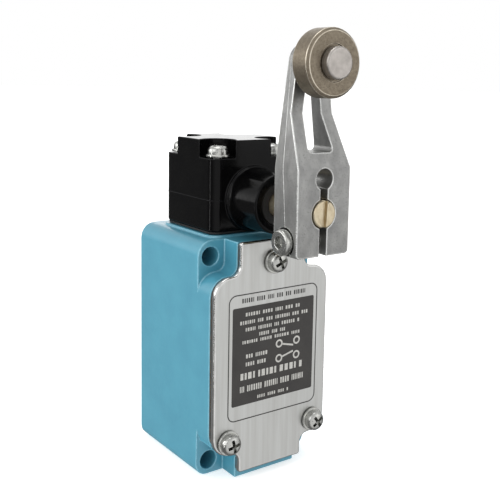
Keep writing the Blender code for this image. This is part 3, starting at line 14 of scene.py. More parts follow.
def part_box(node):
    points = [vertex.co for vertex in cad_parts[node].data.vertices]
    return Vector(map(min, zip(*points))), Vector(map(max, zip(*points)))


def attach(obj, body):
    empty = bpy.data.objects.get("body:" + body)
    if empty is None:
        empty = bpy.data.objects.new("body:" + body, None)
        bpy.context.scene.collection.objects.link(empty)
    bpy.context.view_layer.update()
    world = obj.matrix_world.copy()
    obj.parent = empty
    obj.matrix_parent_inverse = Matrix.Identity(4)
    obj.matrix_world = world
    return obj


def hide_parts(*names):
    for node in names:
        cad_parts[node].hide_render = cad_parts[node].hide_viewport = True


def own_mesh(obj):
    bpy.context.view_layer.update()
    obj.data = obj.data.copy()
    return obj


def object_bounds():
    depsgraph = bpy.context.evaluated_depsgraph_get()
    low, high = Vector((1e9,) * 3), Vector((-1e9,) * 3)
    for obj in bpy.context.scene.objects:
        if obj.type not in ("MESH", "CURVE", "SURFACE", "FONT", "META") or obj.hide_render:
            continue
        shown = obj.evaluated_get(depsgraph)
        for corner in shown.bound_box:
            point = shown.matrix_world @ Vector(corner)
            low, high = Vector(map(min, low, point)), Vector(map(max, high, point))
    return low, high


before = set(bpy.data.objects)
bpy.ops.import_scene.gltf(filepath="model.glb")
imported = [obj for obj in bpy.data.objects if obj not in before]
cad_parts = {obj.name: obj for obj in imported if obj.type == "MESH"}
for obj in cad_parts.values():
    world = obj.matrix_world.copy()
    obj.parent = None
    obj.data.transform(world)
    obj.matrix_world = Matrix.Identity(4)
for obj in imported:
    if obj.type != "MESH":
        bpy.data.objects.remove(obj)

LOG = logging.getLogger("limit_switch")
CAD_BOX = [list(corner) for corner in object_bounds()]
MM = 0.001
WELD = 1e-6
FLAT_ANGLE = 0.5
SHARP_ANGLE = 35.0
COIL_SHARP_ANGLE = 50.0
DOME_POWER = 3.6
BLOCK_SCALE = 3.0
SPECK_WARP = 900.0
SPECK_SOFTNESS = 0.12
EDGE_WEAR_AND_HIGHLIGHT_BREAKUP = 700.0
# Ramp of the edge band; its top value above 1 strengthens the painted edge highlight.
EDGE_BEND = (0.996, 0.92, 0.0, 1.7)
WHITE = (1.0, 1.0, 1.0, 1.0)
MIX_FLOATS = (2, 3)
MIX_COLOURS = (6, 7)
MIX_COLOUR_OUT = 2
Rgb = tuple[int, int, int]
Triple = tuple[float, float, float]
Outline = Sequence[tuple[float, float]]


def linear(red: int, green: int, blue: int) -> tuple[float, float, float, float]:
    """A display colour from 0 to 255 as scene-linear RGBA."""
    parts = []
    for value in (red, green, blue):
        share = value / 255
        parts.append(share / 12.92 if share <= 0.04045 else ((share + 0.055) / 1.055) ** 2.4)
    return (parts[0], parts[1], parts[2], 1.0)


class Facing(Enum):
    """The way in which a fastener's head looks."""

    FRONT = "front"
    UP = "up"

    def turn(self, spin: float) -> Triple:
        """Euler angles that point local +Z this way, after a spin about it in radians."""
        lean = Matrix.Rotation(math.pi / 2, 3, "X") if self is Facing.FRONT else Matrix.Identity(3)
        return tuple((lean @ Matrix.Rotation(spin, 3, "Z")).to_euler("XYZ"))


class NodeMaker:
    """Adds wired nodes to one tree."""

    def __init__(self, tree: bpy.types.NodeTree) -> None:
        """Works on that tree."""
        self.tree = tree

    @classmethod
    def group(cls, name: str, kind: str, inputs: dict[str, object],
              output: tuple[str, str]) -> tuple["NodeMaker", bpy.types.bpy_prop_collection]:
        """Starts a node group.

        Args:
            name: The group's name.
            kind: The kind of tree.
            inputs: Each input's starting value, or its socket kind if it has none.
            output: Name and socket kind of the one output.

        Returns:
            The maker for the new tree, and the sockets of its inputs.
        """
        tree = bpy.data.node_groups.new(name, kind)
        for label, value in inputs.items():
            bare = isinstance(value, str)
            number = "NodeSocketVector" if isinstance(value, tuple) else "NodeSocketFloat"
            socket = tree.interface.new_socket(label, in_out="INPUT",
                                               socket_type=value if bare else number)
            if not bare:
                socket.default_value = value
        tree.interface.new_socket(output[0], in_out="OUTPUT", socket_type=output[1])
        return cls(tree), tree.nodes.new("NodeGroupInput").outputs

    def wire(self, node: bpy.types.Node, inputs: dict) -> bpy.types.Node:
        """Fills inputs: a node lends its first output, a socket is linked, a value is set."""
        for label, value in inputs.items():
            if isinstance(value, bpy.types.Node):
                value = value.outputs[0]
            if isinstance(value, bpy.types.NodeSocket):
                self.tree.links.new(value, node.inputs[label])
            else:
                node.inputs[label].default_value = value
        return node

    def add(self, kind: str, inputs: Optional[dict] = None, **settings: object) -> bpy.types.Node:
        """Adds a node, sets its properties and fills its inputs."""
        node = self.tree.nodes.new(kind)
        for label, value in settings.items():
            setattr(node, label, value)
        return self.wire(node, inputs or {})

    def maths(self, operation: str, *terms: object) -> bpy.types.Node:
        """Adds a maths node on these terms."""
        return self.add("ShaderNodeMath", dict(enumerate(terms)), operation=operation)

    def ramp(self, value: object, start: object = 0.0, end: object = 1.0, low: object = 0.0,
             high: object = 1.0) -> bpy.types.Node:
        """Maps a value from start..end to low..high, and holds it within them."""
        return self.add("ShaderNodeMapRange", {"Value": value, "From Min": start, "From Max": end,
                                               "To Min": low, "To Max": high})

    def vector(self, **parts: object) -> bpy.types.Node:
        """Adds a vector with these parts X, Y and Z."""
        return self.add("ShaderNodeCombineXYZ", parts)

    def moved(self, shape: object, step: object) -> bpy.types.Node:
        """Moves a shape by a vector."""
        return self.add("GeometryNodeTransform", {"Geometry": shape, "Translation": step})


# ---------------------------------------------------------------- shader groups


class ShaderGroups:
    """The effects that several finishes share, each built once."""

    def __init__(self) -> None:
        """Builds every group."""
        self.grain = self._grain()
        self.specks = self._specks()
        self.edges = self._edge_wear_and_highlight()

    @staticmethod
    def _grain() -> bpy.types.NodeTree:
        """Soft noise, stretched by a vector, as a value from 0 to 1."""
        make, given = NodeMaker.group(
            "grain_field", "ShaderNodeTree",
            {"Stretch": (500.0, 500.0, 500.0), "Detail": 4.0, "Low": 0.35, "High": 0.65},
            ("Value", "NodeSocketFloat"))
        place = make.add("ShaderNodeTexCoord").outputs["Object"]
        scaled = make.add("ShaderNodeVectorMath", {0: place, 1: given["Stretch"]},
                          operation="MULTIPLY")
        noise = make.add("ShaderNodeTexNoise",
                         {"Vector": scaled, "Scale": 1.0, "Detail": given["Detail"]})
        make.add("NodeGroupOutput", {"Value": make.ramp(noise, given["Low"], given["High"])})
        return make.tree

    @staticmethod
    def _specks() -> bpy.types.NodeTree:
        """Small round spots of uneven size, as a mask that is 1 in a spot."""
        make, given = NodeMaker.group(
            "speck_field", "ShaderNodeTree", {"Scale": 1500.0, "Size": 0.3, "Softness": 0.1},
            ("Mask", "NodeSocketFloat"))
        place = make.add("ShaderNodeTexCoord").outputs["Object"]
        cells = make.add("ShaderNodeTexVoronoi", {"Vector": place, "Scale": given["Scale"]})
        warp = make.add("ShaderNodeTexNoise", {"Vector": place, "Scale": SPECK_WARP})
        limit = make.maths("MULTIPLY", given["Size"], warp)
        outer = make.maths("ADD", limit, given["Softness"])
        make.add("NodeGroupOutput", {"Mask": make.ramp(cells, limit, outer, 1.0, 0.0)})
        return make.tree

    @staticmethod
    def _edge_wear_and_highlight() -> bpy.types.NodeTree:
        """The narrow band along a piece's edges, broken up by noise: it carries edge wear and a
        painted edge highlight.
        """
        make, given = NodeMaker.group(
            "edge_wear_and_highlight_field", "ShaderNodeTree", {"Width": 0.0004, "Breakup": 700.0},
            ("Mask", "NodeSocketFloat"))
        rounded = make.add("ShaderNodeBevel", {"Radius": given["Width"]}, samples=4)
        facing = make.add("ShaderNodeNewGeometry").outputs["Normal"]
        dot = make.add("ShaderNodeVectorMath", {0: rounded, 1: facing}, operation="DOT_PRODUCT")
        place = make.add("ShaderNodeTexCoord").outputs["Object"]
        noise = make.add("ShaderNodeTexNoise", {"Vector": place, "Scale": given["Breakup"]})
        bend = make.ramp(dot.outputs["Value"], *EDGE_BEND)
        make.add("NodeGroupOutput", {"Mask": make.maths("MULTIPLY", bend, noise)})
        return make.tree


# ---------------------------------------------------------------- finishes


@dataclass(frozen=True)
class Finish:
    """One surface finish: two colours, their grain, edge wear with a painted edge highlight,
    spots, gloss and relief.
    """

    name: str
    base: Rgb
    shade: Rgb
    metallic: float = 0.0
    rough: tuple[float, float] = (0.3, 0.45)
    stretch: Triple = (450.0, 450.0, 450.0)
    fine: Triple = (2600.0, 2600.0, 2600.0)
    relief: float = 0.01
    # Colour of the edge band: edge wear, and a painted edge highlight.
    edge_wear_and_highlight: Optional[Rgb] = None
    edge_wear_and_highlight_width: float = 0.35
    speck: Optional[Rgb] = None
    speck_scale: float = 1500.0
    speck_size: float = 0.35
    coat: float = 0.0
    coat_rough: float = 0.05
    specular: float = 0.5
    glow: float = 0.0

    def build(self, groups: ShaderGroups) -> bpy.types.Material:
        """Makes the material.

        Args:
            groups: The shared shader groups.

        Returns:
            The material, with its nodes wired.
        """
        made = bpy.data.materials.new(self.name)
        made.use_nodes = True
        make = NodeMaker(made.node_tree)

        def effect(tree: bpy.types.NodeTree, **values: object) -> bpy.types.Node:
            """Adds a shared group with these input values."""
            return make.add("ShaderNodeGroup", values, node_tree=tree)

        def blend(mask: bpy.types.Node, under: object, over: object) -> bpy.types.NodeSocket:
            """Mixes two colours, each a socket or a value, by a mask."""
            mix = make.add("ShaderNodeMix", {0: mask, MIX_COLOURS[0]: under, MIX_COLOURS[1]: over},
                           data_type="RGBA")
            return mix.outputs[MIX_COLOUR_OUT]

        broad = effect(groups.grain, Stretch=self.stretch, Detail=5.0, Low=0.3, High=0.7)
        tight = effect(groups.grain, Stretch=self.fine, Detail=3.0, Low=0.25, High=0.75)
        colour = blend(broad, linear(*self.base), linear(*self.shade))
        height = tight
        if self.speck:
            spots = effect(groups.specks, Scale=self.speck_scale, Size=self.speck_size,
                           Softness=SPECK_SOFTNESS)
            colour = blend(spots, colour, linear(*self.speck))
            height = make.maths("SUBTRACT", tight, spots)
        # The edge band paints a lighter colour along the edges: edge wear and a painted highlight.
        if self.edge_wear_and_highlight:
            band = effect(groups.edges, Width=self.edge_wear_and_highlight_width * MM, Breakup=EDGE_WEAR_AND_HIGHLIGHT_BREAKUP)
            colour = blend(band, colour, linear(*self.edge_wear_and_highlight))
        gloss = make.ramp(tight, low=self.rough[0], high=self.rough[1])
        bump = make.add("ShaderNodeBump", {"Height": height, "Strength": 1.0,
                                           "Distance": self.relief * MM})
        make.wire(made.node_tree.nodes["Principled BSDF"], {
            "Base Color": colour, "Roughness": gloss, "Normal": bump, "Metallic": self.metallic,
            "Coat Weight": self.coat, "Coat Roughness": self.coat_rough,
            "Specular IOR Level": self.specular, "Emission Color": WHITE,
            "Emission Strength": self.glow})
        return made


FINISHES = (
    # Its lighter edge band is a painted highlight.
    Finish("blue_enamel", (78, 149, 170), (71, 140, 162), rough=(0.28, 0.38), relief=0.006,
           stretch=(120, 120, 120), fine=(900, 900, 900), edge_wear_and_highlight=(150, 205, 222), edge_wear_and_highlight_width=0.5,
           coat=0.3, coat_rough=0.15),
    Finish("black_enamel", (4, 4, 5), (8, 8, 8), rough=(0.1, 0.17), relief=0.006,
           stretch=(200, 200, 200), fine=(700, 700, 700), edge_wear_and_highlight=(30, 30, 32), edge_wear_and_highlight_width=0.3,
           specular=0.13),
    Finish("satin_steel", (203, 204, 202), (190, 190, 187), metallic=1.0, rough=(0.3, 0.42),
           stretch=(900, 300, 40), fine=(5200, 900, 90), relief=0.004),
    Finish("polished_edge", (222, 222, 220), (196, 196, 194), metallic=1.0, rough=(0.1, 0.2),
           stretch=(500, 500, 500), relief=0.003),
    Finish("zinc_plate", (197, 197, 192), (176, 177, 175), metallic=1.0, rough=(0.16, 0.32),
           stretch=(800, 800, 800), fine=(3600, 3600, 3600), relief=0.008,
           speck=(150, 150, 150), speck_scale=1400, speck_size=0.3),
    # Its near-white edge band is a painted highlight.
    Finish("cast_aluminium", (157, 157, 155), (135, 135, 134), metallic=0.92, rough=(0.34, 0.5),
           stretch=(420, 420, 260), fine=(2400, 2400, 1500), relief=0.016,
           edge_wear_and_highlight=(240, 241, 238), edge_wear_and_highlight_width=0.6, speck=(120, 120, 120), speck_scale=1900,
           speck_size=0.28),
    # A painted highlight: a bright finish for the lever's rounded edges and its seam bead.
    Finish("cast_edge_highlight", (228, 229, 227), (198, 199, 197), metallic=1.0, rough=(0.2, 0.34),
           stretch=(700, 700, 700), relief=0.006),
    Finish("sintered_steel", (140, 130, 114), (120, 110, 95), metallic=0.85, rough=(0.36, 0.52),
           stretch=(1300, 1300, 1300), fine=(5200, 5200, 5200), relief=0.016,
           speck=(84, 75, 64), speck_scale=4200, speck_size=0.4),
    # A painted highlight: a bright finish for the roller's rounded edges.
    Finish("sinter_edge_highlight", (216, 207, 190), (184, 174, 158), metallic=0.95, rough=(0.22, 0.36),
           stretch=(700, 700, 700), relief=0.006),
    # Its near-white edge band is a painted highlight.
    Finish("pin_steel", (182, 176, 171), (162, 157, 152), metallic=0.95, rough=(0.3, 0.46),
           stretch=(600, 600, 600), fine=(2600, 2600, 2600), relief=0.01,
           edge_wear_and_highlight=(246, 242, 236), edge_wear_and_highlight_width=0.45),
    Finish("shaft_brass", (214, 202, 176), (196, 180, 150), metallic=0.9, rough=(0.26, 0.4),
           stretch=(700, 500, 700), fine=(3800, 900, 3800), relief=0.006,
           edge_wear_and_highlight=(236, 226, 200), edge_wear_and_highlight_width=0.25),
    Finish("bronze", (150, 98, 62), (118, 74, 48), metallic=0.95, rough=(0.3, 0.45),
           stretch=(500, 500, 500), relief=0.01, edge_wear_and_highlight=(190, 140, 100)),
    Finish("brass", (196, 164, 92), (172, 138, 70), metallic=1.0, rough=(0.22, 0.36),
           stretch=(500, 500, 500), relief=0.008, edge_wear_and_highlight=(224, 198, 130)),
    Finish("cork_rubber", (54, 49, 46), (74, 64, 56), rough=(0.75, 0.9), relief=0.05,
           stretch=(900, 900, 900), speck=(104, 84, 66), speck_scale=1700, speck_size=0.45),
    Finish("black_rubber", (20, 20, 21), (31, 31, 31), rough=(0.6, 0.78), relief=0.02,
           stretch=(600, 600, 600)),
    Finish("white_nylon", (222, 218, 206), (206, 201, 188), rough=(0.4, 0.55), relief=0.008,
           stretch=(300, 300, 300), edge_wear_and_highlight=(238, 236, 228)),
    Finish("phenolic", (44, 29, 23), (62, 41, 31), rough=(0.3, 0.48), relief=0.012,
           stretch=(380, 380, 380), speck=(84, 60, 46), speck_scale=1300, speck_size=0.3,
           edge_wear_and_highlight=(88, 66, 54)),
    Finish("spring_steel", (168, 166, 162), (140, 138, 134), metallic=1.0, rough=(0.22, 0.36),
           stretch=(700, 700, 700), relief=0.008),
    Finish("green_plate", (58, 118, 66), (78, 138, 76), metallic=0.85, rough=(0.26, 0.4),
           stretch=(600, 600, 600), relief=0.008, edge_wear_and_highlight=(150, 176, 140)),
    Finish("panel_ink", (52, 50, 48), (44, 42, 41), rough=(0.36, 0.46), relief=0.004,
           stretch=(150, 150, 150), fine=(2600, 900, 500), specular=0.4),
    Finish("bare_print", (196, 195, 190), (178, 177, 173), metallic=0.3, rough=(0.4, 0.5),
           stretch=(900, 900, 900), relief=0.003),
    Finish("studio_floor", (246, 246, 245), (242, 242, 241), rough=(0.85, 0.95), relief=0.02,
           stretch=(9, 9, 9), fine=(400, 400, 400), specular=0.1, glow=0.55),
)


class Paintbox:
    """Every finish of the switch, by name."""

    def __init__(self) -> None:
        """Builds the shared groups and all the finishes."""
        groups = ShaderGroups()
        self._made = {one.name: one.build(groups) for one in FINISHES}

    def __getitem__(self, name: str) -> bpy.types.Material:
        """The material of that name."""
        return self._made[name]

    def dress_frame(self) -> None:
        """Gives each frame node the finish that its slot is named after."""
        for name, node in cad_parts.items():
            for slot in node.material_slots:
                wanted = slot.material.name.split(".")[0]
                slot.link = "OBJECT"
                slot.material = self._made[wanted]
            LOG.info("dressed %s", name)


def linked(name: str, data: bpy.types.ID) -> bpy.types.Object:
    """A new object around some data, linked to the scene."""
    made = bpy.data.objects.new(name, data)
    bpy.context.scene.collection.objects.link(made)
    return made


def shaded(mesh: bpy.types.Mesh, sharp: float) -> None:
    """Shades a mesh smooth, but leaves edges sharp from that angle in degrees."""
    mesh.shade_smooth()
    mesh.set_sharp_from_angle(angle=math.radians(sharp))


def meshed(shape: bmesh.types.BMesh, name: str) -> bpy.types.Mesh:
    """A mesh with the bmesh's shape. The bmesh is freed."""
    mesh = bpy.data.meshes.new(name)
    shape.to_mesh(mesh)
    shape.free()
    return mesh


# ---------------------------------------------------------------- geometry nodes


class NodeTools:
    """Geometry node trees for what repeats or follows a path."""

    def __init__(self) -> None:
        """Builds every tree."""
        self.screws = self._pan_screws()
        self.washers = self._washers()
        self.marks = self._marks()
        self.seam = self._seam()

    @staticmethod
    def _start(name: str,
               sizes: dict[str, float]) -> tuple[NodeMaker, bpy.types.bpy_prop_collection]:
        """Starts a tree with a geometry input, named sizes and a finish."""
        inputs = {"Geometry": "NodeSocketGeometry", **sizes, "Finish": "NodeSocketMaterial"}
        return NodeMaker.group(name, "GeometryNodeTree", inputs,
                               ("Geometry", "NodeSocketGeometry"))

    @staticmethod
    def _end(make: NodeMaker, given: bpy.types.bpy_prop_collection,
             shape: bpy.types.Node) -> bpy.types.NodeTree:
        """Realizes the instances, sets the finish and closes the tree."""
        real = make.add("GeometryNodeRealizeInstances", {"Geometry": shape})
        painted = make.add("GeometryNodeSetMaterial",
                           {"Geometry": real, "Material": given["Finish"]})
        make.add("NodeGroupOutput", {"Geometry": painted})
        return make.tree

    @staticmethod
    def _on_points(make: NodeMaker, given: bpy.types.bpy_prop_collection, shape: bpy.types.Node,
                   scale: Optional[str] = None) -> bpy.types.Node:
        """Puts the shape on each point, turned by its own angles.

        Args:
            make: The maker of the tree's nodes.
            given: The sockets of the tree's inputs.
            shape: What is put on each point.
            scale: The name of a point attribute that scales the shape.

        Returns:
            The node that makes the instances.
        """
        turn = make.add("GeometryNodeInputNamedAttribute", {"Name": "turn"},
                        data_type="FLOAT_VECTOR")
        angles = make.add("FunctionNodeEulerToRotation", {"Euler": turn.outputs["Attribute"]})
        links = {"Points": given["Geometry"], "Instance": shape, "Rotation": angles}
        if scale:
            size = make.add("GeometryNodeInputNamedAttribute", {"Name": scale},
                            data_type="FLOAT_VECTOR")
            links["Scale"] = size.outputs["Attribute"]
        return make.add("GeometryNodeInstanceOnPoints", links)

    def _pan_screws(self) -> bpy.types.NodeTree:
        """Cross-recessed pan head screws, one on each point."""
        make, given = self._start("pan_screws", {
            "Head Radius": 0.0029, "Head Height": 0.0022, "Recess Width": 0.0008,
            "Recess Length": 0.0034, "Recess Depth": 0.0012, "Shank Radius": 0.0015,
            "Shank Length": 0.01})
        radius, height = given["Head Radius"], given["Head Height"]
        ball = make.add("GeometryNodeMeshUVSphere", {"Segments": 40, "Rings": 28, "Radius": 1.0})
        at = make.add("GeometryNodeInputPosition")
        split = make.add("ShaderNodeSeparateXYZ", {"Vector": at}).outputs
        out = make.add("ShaderNodeVectorMath", {0: make.vector(X=split[0], Y=split[1])},
                       operation="LENGTH").outputs["Value"]
        total = make.maths("ADD", make.maths("POWER", out, DOME_POWER),
                           make.maths("POWER", make.maths("ABSOLUTE", split[2]), DOME_POWER))
        push = make.maths("POWER", total, -1 / DOME_POWER)
        swollen = make.add("ShaderNodeVectorMath", {0: at, "Scale": push}, operation="SCALE")
        dome = make.add("GeometryNodeSetPosition", {"Geometry": ball, "Position": swollen})
        size = make.vector(X=radius, Y=radius, Z=height)
        head = make.add("GeometryNodeTransform", {"Geometry": dome, "Scale": size})
        block = make.add("ShaderNodeVectorMath", {0: size, "Scale": BLOCK_SCALE},
                         operation="SCALE")
        drop = make.maths("MULTIPLY", height, -BLOCK_SCALE / 2)
        cutters = [make.moved(make.add("GeometryNodeMeshCube", {"Size": block}),
                              make.vector(Z=drop))]
        deep = make.maths("MULTIPLY", given["Recess Depth"], 2.0)
        top = make.vector(Z=height)
        width, length = given["Recess Width"], given["Recess Length"]
        for across, along in ((width, length), (length, width)):
            bar = make.vector(X=across, Y=along, Z=deep)
            cutters.append(make.moved(make.add("GeometryNodeMeshCube", {"Size": bar}), top))
        carved = make.add("GeometryNodeMeshBoolean", {0: head}, operation="DIFFERENCE")
        for cutter in cutters:
            make.wire(carved, {"Mesh 2": cutter})
        shank = make.add("GeometryNodeMeshCylinder", {
            "Vertices": 24, "Side Segments": 1, "Radius": given["Shank Radius"],
            "Depth": given["Shank Length"]})
        half = make.maths("MULTIPLY", given["Shank Length"], -0.5)
        stem = make.moved(shank, make.vector(Z=half))
        whole = make.add("GeometryNodeJoinGeometry")
        for part in (carved, stem):
            make.wire(whole, {0: part})
        return self._end(make, given, self._on_points(make, given, whole))

    def _washers(self) -> bpy.types.NodeTree:
        """Flat rings with rounded edges, one on each point, with the top face at the point."""
        make, given = self._start("flat_washers", {
            "Inner Radius": 0.0018, "Outer Radius": 0.0034, "Thickness": 0.0007, "Edge": 0.00015})
        inner, outer, thick = given["Inner Radius"], given["Outer Radius"], given["Thickness"]
        middle = make.maths("MULTIPLY", make.maths("ADD", inner, outer), 0.5)
        path = make.add("GeometryNodeCurvePrimitiveCircle", {"Resolution": 48, "Radius": middle})
        outline = make.add("GeometryNodeCurvePrimitiveQuadrilateral",
                           {"Width": make.maths("SUBTRACT", outer, inner), "Height": thick})
        soft = make.add("GeometryNodeFilletCurve",
                        {"Curve": outline, "Count": 3, "Radius": given["Edge"]}, mode="POLY")
        ring = make.add("GeometryNodeCurveToMesh", {"Curve": path, "Profile Curve": soft})
        put = make.moved(ring, make.vector(Z=make.maths("MULTIPLY", thick, -0.5)))
        return self._end(make, given, self._on_points(make, given, put))

    def _marks(self) -> bpy.types.NodeTree:
        """Thin printed bars, one on each point, sized by the point's own vector."""
        make, given = self._start("print_marks", {"Thickness": 0.00003})
        size = make.vector(X=1.0, Y=1.0, Z=given["Thickness"])
        bar = make.add("GeometryNodeMeshCube", {"Size": size})
        return self._end(make, given, self._on_points(make, given, bar, "span"))

    def _seam(self) -> bpy.types.NodeTree:
        """A fine bead along every edge path of the mesh."""
        make, given = self._start("casting_seam", {"Radius": 0.00008})
        path = make.add("GeometryNodeMeshToCurve", {"Mesh": given["Geometry"]})
        circle = make.add("GeometryNodeCurvePrimitiveCircle",
                          {"Resolution": 8, "Radius": given["Radius"]})
        bead = make.add("GeometryNodeCurveToMesh",
                        {"Curve": path, "Profile Curve": circle, "Fill Caps": True})
        return self._end(make, given, bead)

    @staticmethod
    def grow(name: str, host: bpy.types.Mesh, tree: bpy.types.NodeTree,
             finish: bpy.types.Material, sizes: dict[str, float]) -> bpy.types.Object:
        """Runs a tree on a host mesh and keeps the plain result.

        Args:
            name: The new piece's name.
            host: The mesh that the tree starts from.
            tree: The geometry node tree.
            finish: The material of the result.
            sizes: Values of the tree's named inputs.

        Returns:
            The new piece.
        """
        stand = linked(name + "_host", host)
        maker = stand.modifiers.new("maker", "NODES")
        maker.node_group = tree
        sockets = {item.name: item.identifier for item in tree.interface.items_tree
                   if item.in_out == "INPUT"}
        for label, value in sizes.items():
            maker[sockets[label]] = value
        maker[sockets["Finish"]] = finish
        graph = bpy.context.evaluated_depsgraph_get()
        mesh = bpy.data.meshes.new_from_object(stand.evaluated_get(graph), depsgraph=graph)
        stand.modifiers.remove(maker)
        bpy.data.objects.remove(stand)
        mesh.name = name
        shaded(mesh, SHARP_ANGLE)
        return linked(name, mesh)


def point_mesh(name: str, points: Sequence[Vector], turns: Sequence[Triple],
               spans: Optional[Sequence[Triple]] = None) -> bpy.types.Mesh:
    """A mesh of loose points that carry a turn and, if given, a span.

    Args:
        name: The mesh's name.
        points: Where the points are.
        turns: Euler angles of each point.
        spans: Size of each point's shape along its own axes.

    Returns:
        The mesh.
    """
    mesh = bpy.data.meshes.new(name)
    mesh.from_pydata([tuple(point) for point in points], [], [])
    rows = [("turn", turns)] + ([("span", spans)] if spans else [])
    for label, values in rows:
        layer = mesh.attributes.new(label, "FLOAT_VECTOR", "POINT")
        for index, value in enumerate(values):
            layer.data[index].vector = value
    return mesh


# ---------------------------------------------------------------- mesh work


def merged(node: str) -> bmesh.types.BMesh:
    """A frame node's shape as a joined, tidy bmesh in the row frame."""
    shape = bmesh.new()
    shape.from_mesh(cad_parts[node].data)
    bmesh.ops.remove_doubles(shape, verts=shape.verts, dist=WELD)
    bmesh.ops.dissolve_limit(shape, angle_limit=math.radians(FLAT_ANGLE), verts=shape.verts,
                             edges=shape.edges, delimit={"NORMAL"})
    return shape


def refined(node: str, name: str, edge: float, finishes: Sequence[bpy.types.Material],
            steps: int = 3, least: float = 30.0) -> bpy.types.Object:
    """A frame node's shape with its sharp edges rounded over.

    Args:
        node: The frame node that is copied.
        name: The new piece's name.
        edge: Width of the rounding, in metres.
        finishes: The main finish and, if there are two, the finish of the rounded edges.
        steps: Number of segments across the rounding.
        least: The smallest angle between faces, in degrees, that is rounded.

    Returns:
        The new piece.
    """
    mesh = meshed(merged(node), name)
    for finish in finishes:
        mesh.materials.append(finish)
    mesh.shade_smooth()
    stand = linked(name + "_host", mesh)
    rounding = stand.modifiers.new("rounding", "BEVEL")
    rounding.width = edge
    rounding.segments = steps
    rounding.limit_method = "ANGLE"
    rounding.angle_limit = math.radians(least)
    rounding.use_clamp_overlap = False
    rounding.loop_slide = False
    rounding.material = 1 if len(finishes) > 1 else -1
    shading = stand.modifiers.new("shading", "WEIGHTED_NORMAL")
    shading.keep_sharp = True
    graph = bpy.context.evaluated_depsgraph_get()
    result = bpy.data.meshes.new_from_object(stand.evaluated_get(graph), depsgraph=graph,
                                             preserve_all_data_layers=True)
    bpy.data.objects.remove(stand)
    result.name = name
    return linked(name, result)


def section(node: str, point: Vector, normal: Vector,
            keep: Callable[[Vector], bool]) -> bpy.types.Mesh:
    """The outline where a plane cuts a frame node.

    Args:
        node: The frame node that is cut.
        point: A point of the plane.
        normal: The plane's normal.
        keep: Says whether a point of the outline is wanted.

    Returns:
        A mesh of edges.
    """
    shape = merged(node)
    everything = list(shape.verts) + list(shape.edges) + list(shape.faces)
    bmesh.ops.bisect_plane(shape, geom=everything, dist=WELD, plane_co=point, plane_no=normal,
                           clear_inner=True, clear_outer=True)
    unwanted = [vert for vert in shape.verts if not keep(vert.co)]
    bmesh.ops.delete(shape, geom=unwanted, context="VERTS")
    bmesh.ops.delete(shape, geom=list(shape.faces), context="FACES_ONLY")
    return meshed(shape, node + "_section")


def rounded_loop(low: tuple[float, float], high: tuple[float, float], radius: float,
                 steps: int = 8) -> list[tuple[float, float]]:
    """Points of a rectangle with round corners, as (x, z) pairs."""
    corners = ((high[0] - radius, high[1] - radius, 0), (low[0] + radius, high[1] - radius, 1),
               (low[0] + radius, low[1] + radius, 2), (high[0] - radius, low[1] + radius, 3))
    points = []
    for x, z, quarter in corners:
        for step in range(steps + 1):
            angle = math.radians(90 * (quarter + step / steps))
            points.append((x + radius * math.cos(angle), z + radius * math.sin(angle)))
    return points


def film(name: str, outer: Outline, face: float, thickness: float, finish: bpy.types.Material,
         inner: Outline = ()) -> bpy.types.Object:
    """A thin printed layer that lies on an upright face.

    Args:
        name: The new piece's name.
        outer: The outline, as (x, z) pairs.
        face: The y of the face that it lies on.
        thickness: How far it stands off the face.
        finish: Its material.
        inner: The outline of a hole, with as many points as the outer one.

    Returns:
        The new piece.
    """
    shape = bmesh.new()
    front, back = face - thickness, face + thickness / 2
    loops = [[shape.verts.new((x, y, z)) for x, z in outline]
             for outline in (outer, inner) if outline for y in (front, back)]
    count = len(outer)
    joined = ((0, 1), (2, 3), (0, 2), (1, 3)) if inner else ((0, 1),)
    for one, other in ((loops[first], loops[second]) for first, second in joined):
        for index in range(count):
            after = (index + 1) % count
            shape.faces.new((one[index], one[after], other[after], other[index]))
    if not inner:
        shape.faces.new(loops[0])
        shape.faces.new(loops[1])
    bmesh.ops.recalc_face_normals(shape, faces=shape.faces)
    mesh = meshed(shape, name)
    mesh.materials.append(finish)
    return linked(name, mesh)


def settle(piece: bpy.types.Object, body: str, slot: str, *nodes: str) -> bpy.types.Object:
    """Fixes a finished piece to its body and hides the nodes it stands for.

    Args:
        piece: The finished piece.
        body: The body that carries it.
        slot: Not used.
        nodes: The frame nodes that it replaces.

    Returns:
        The piece.
    """
    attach(piece, body)
    if nodes:
        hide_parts(*nodes)
    LOG.info("piece %s on %s, %d faces", piece.name, body, len(piece.data.polygons))
    return piece


# ---------------------------------------------------------------- sub-assemblies


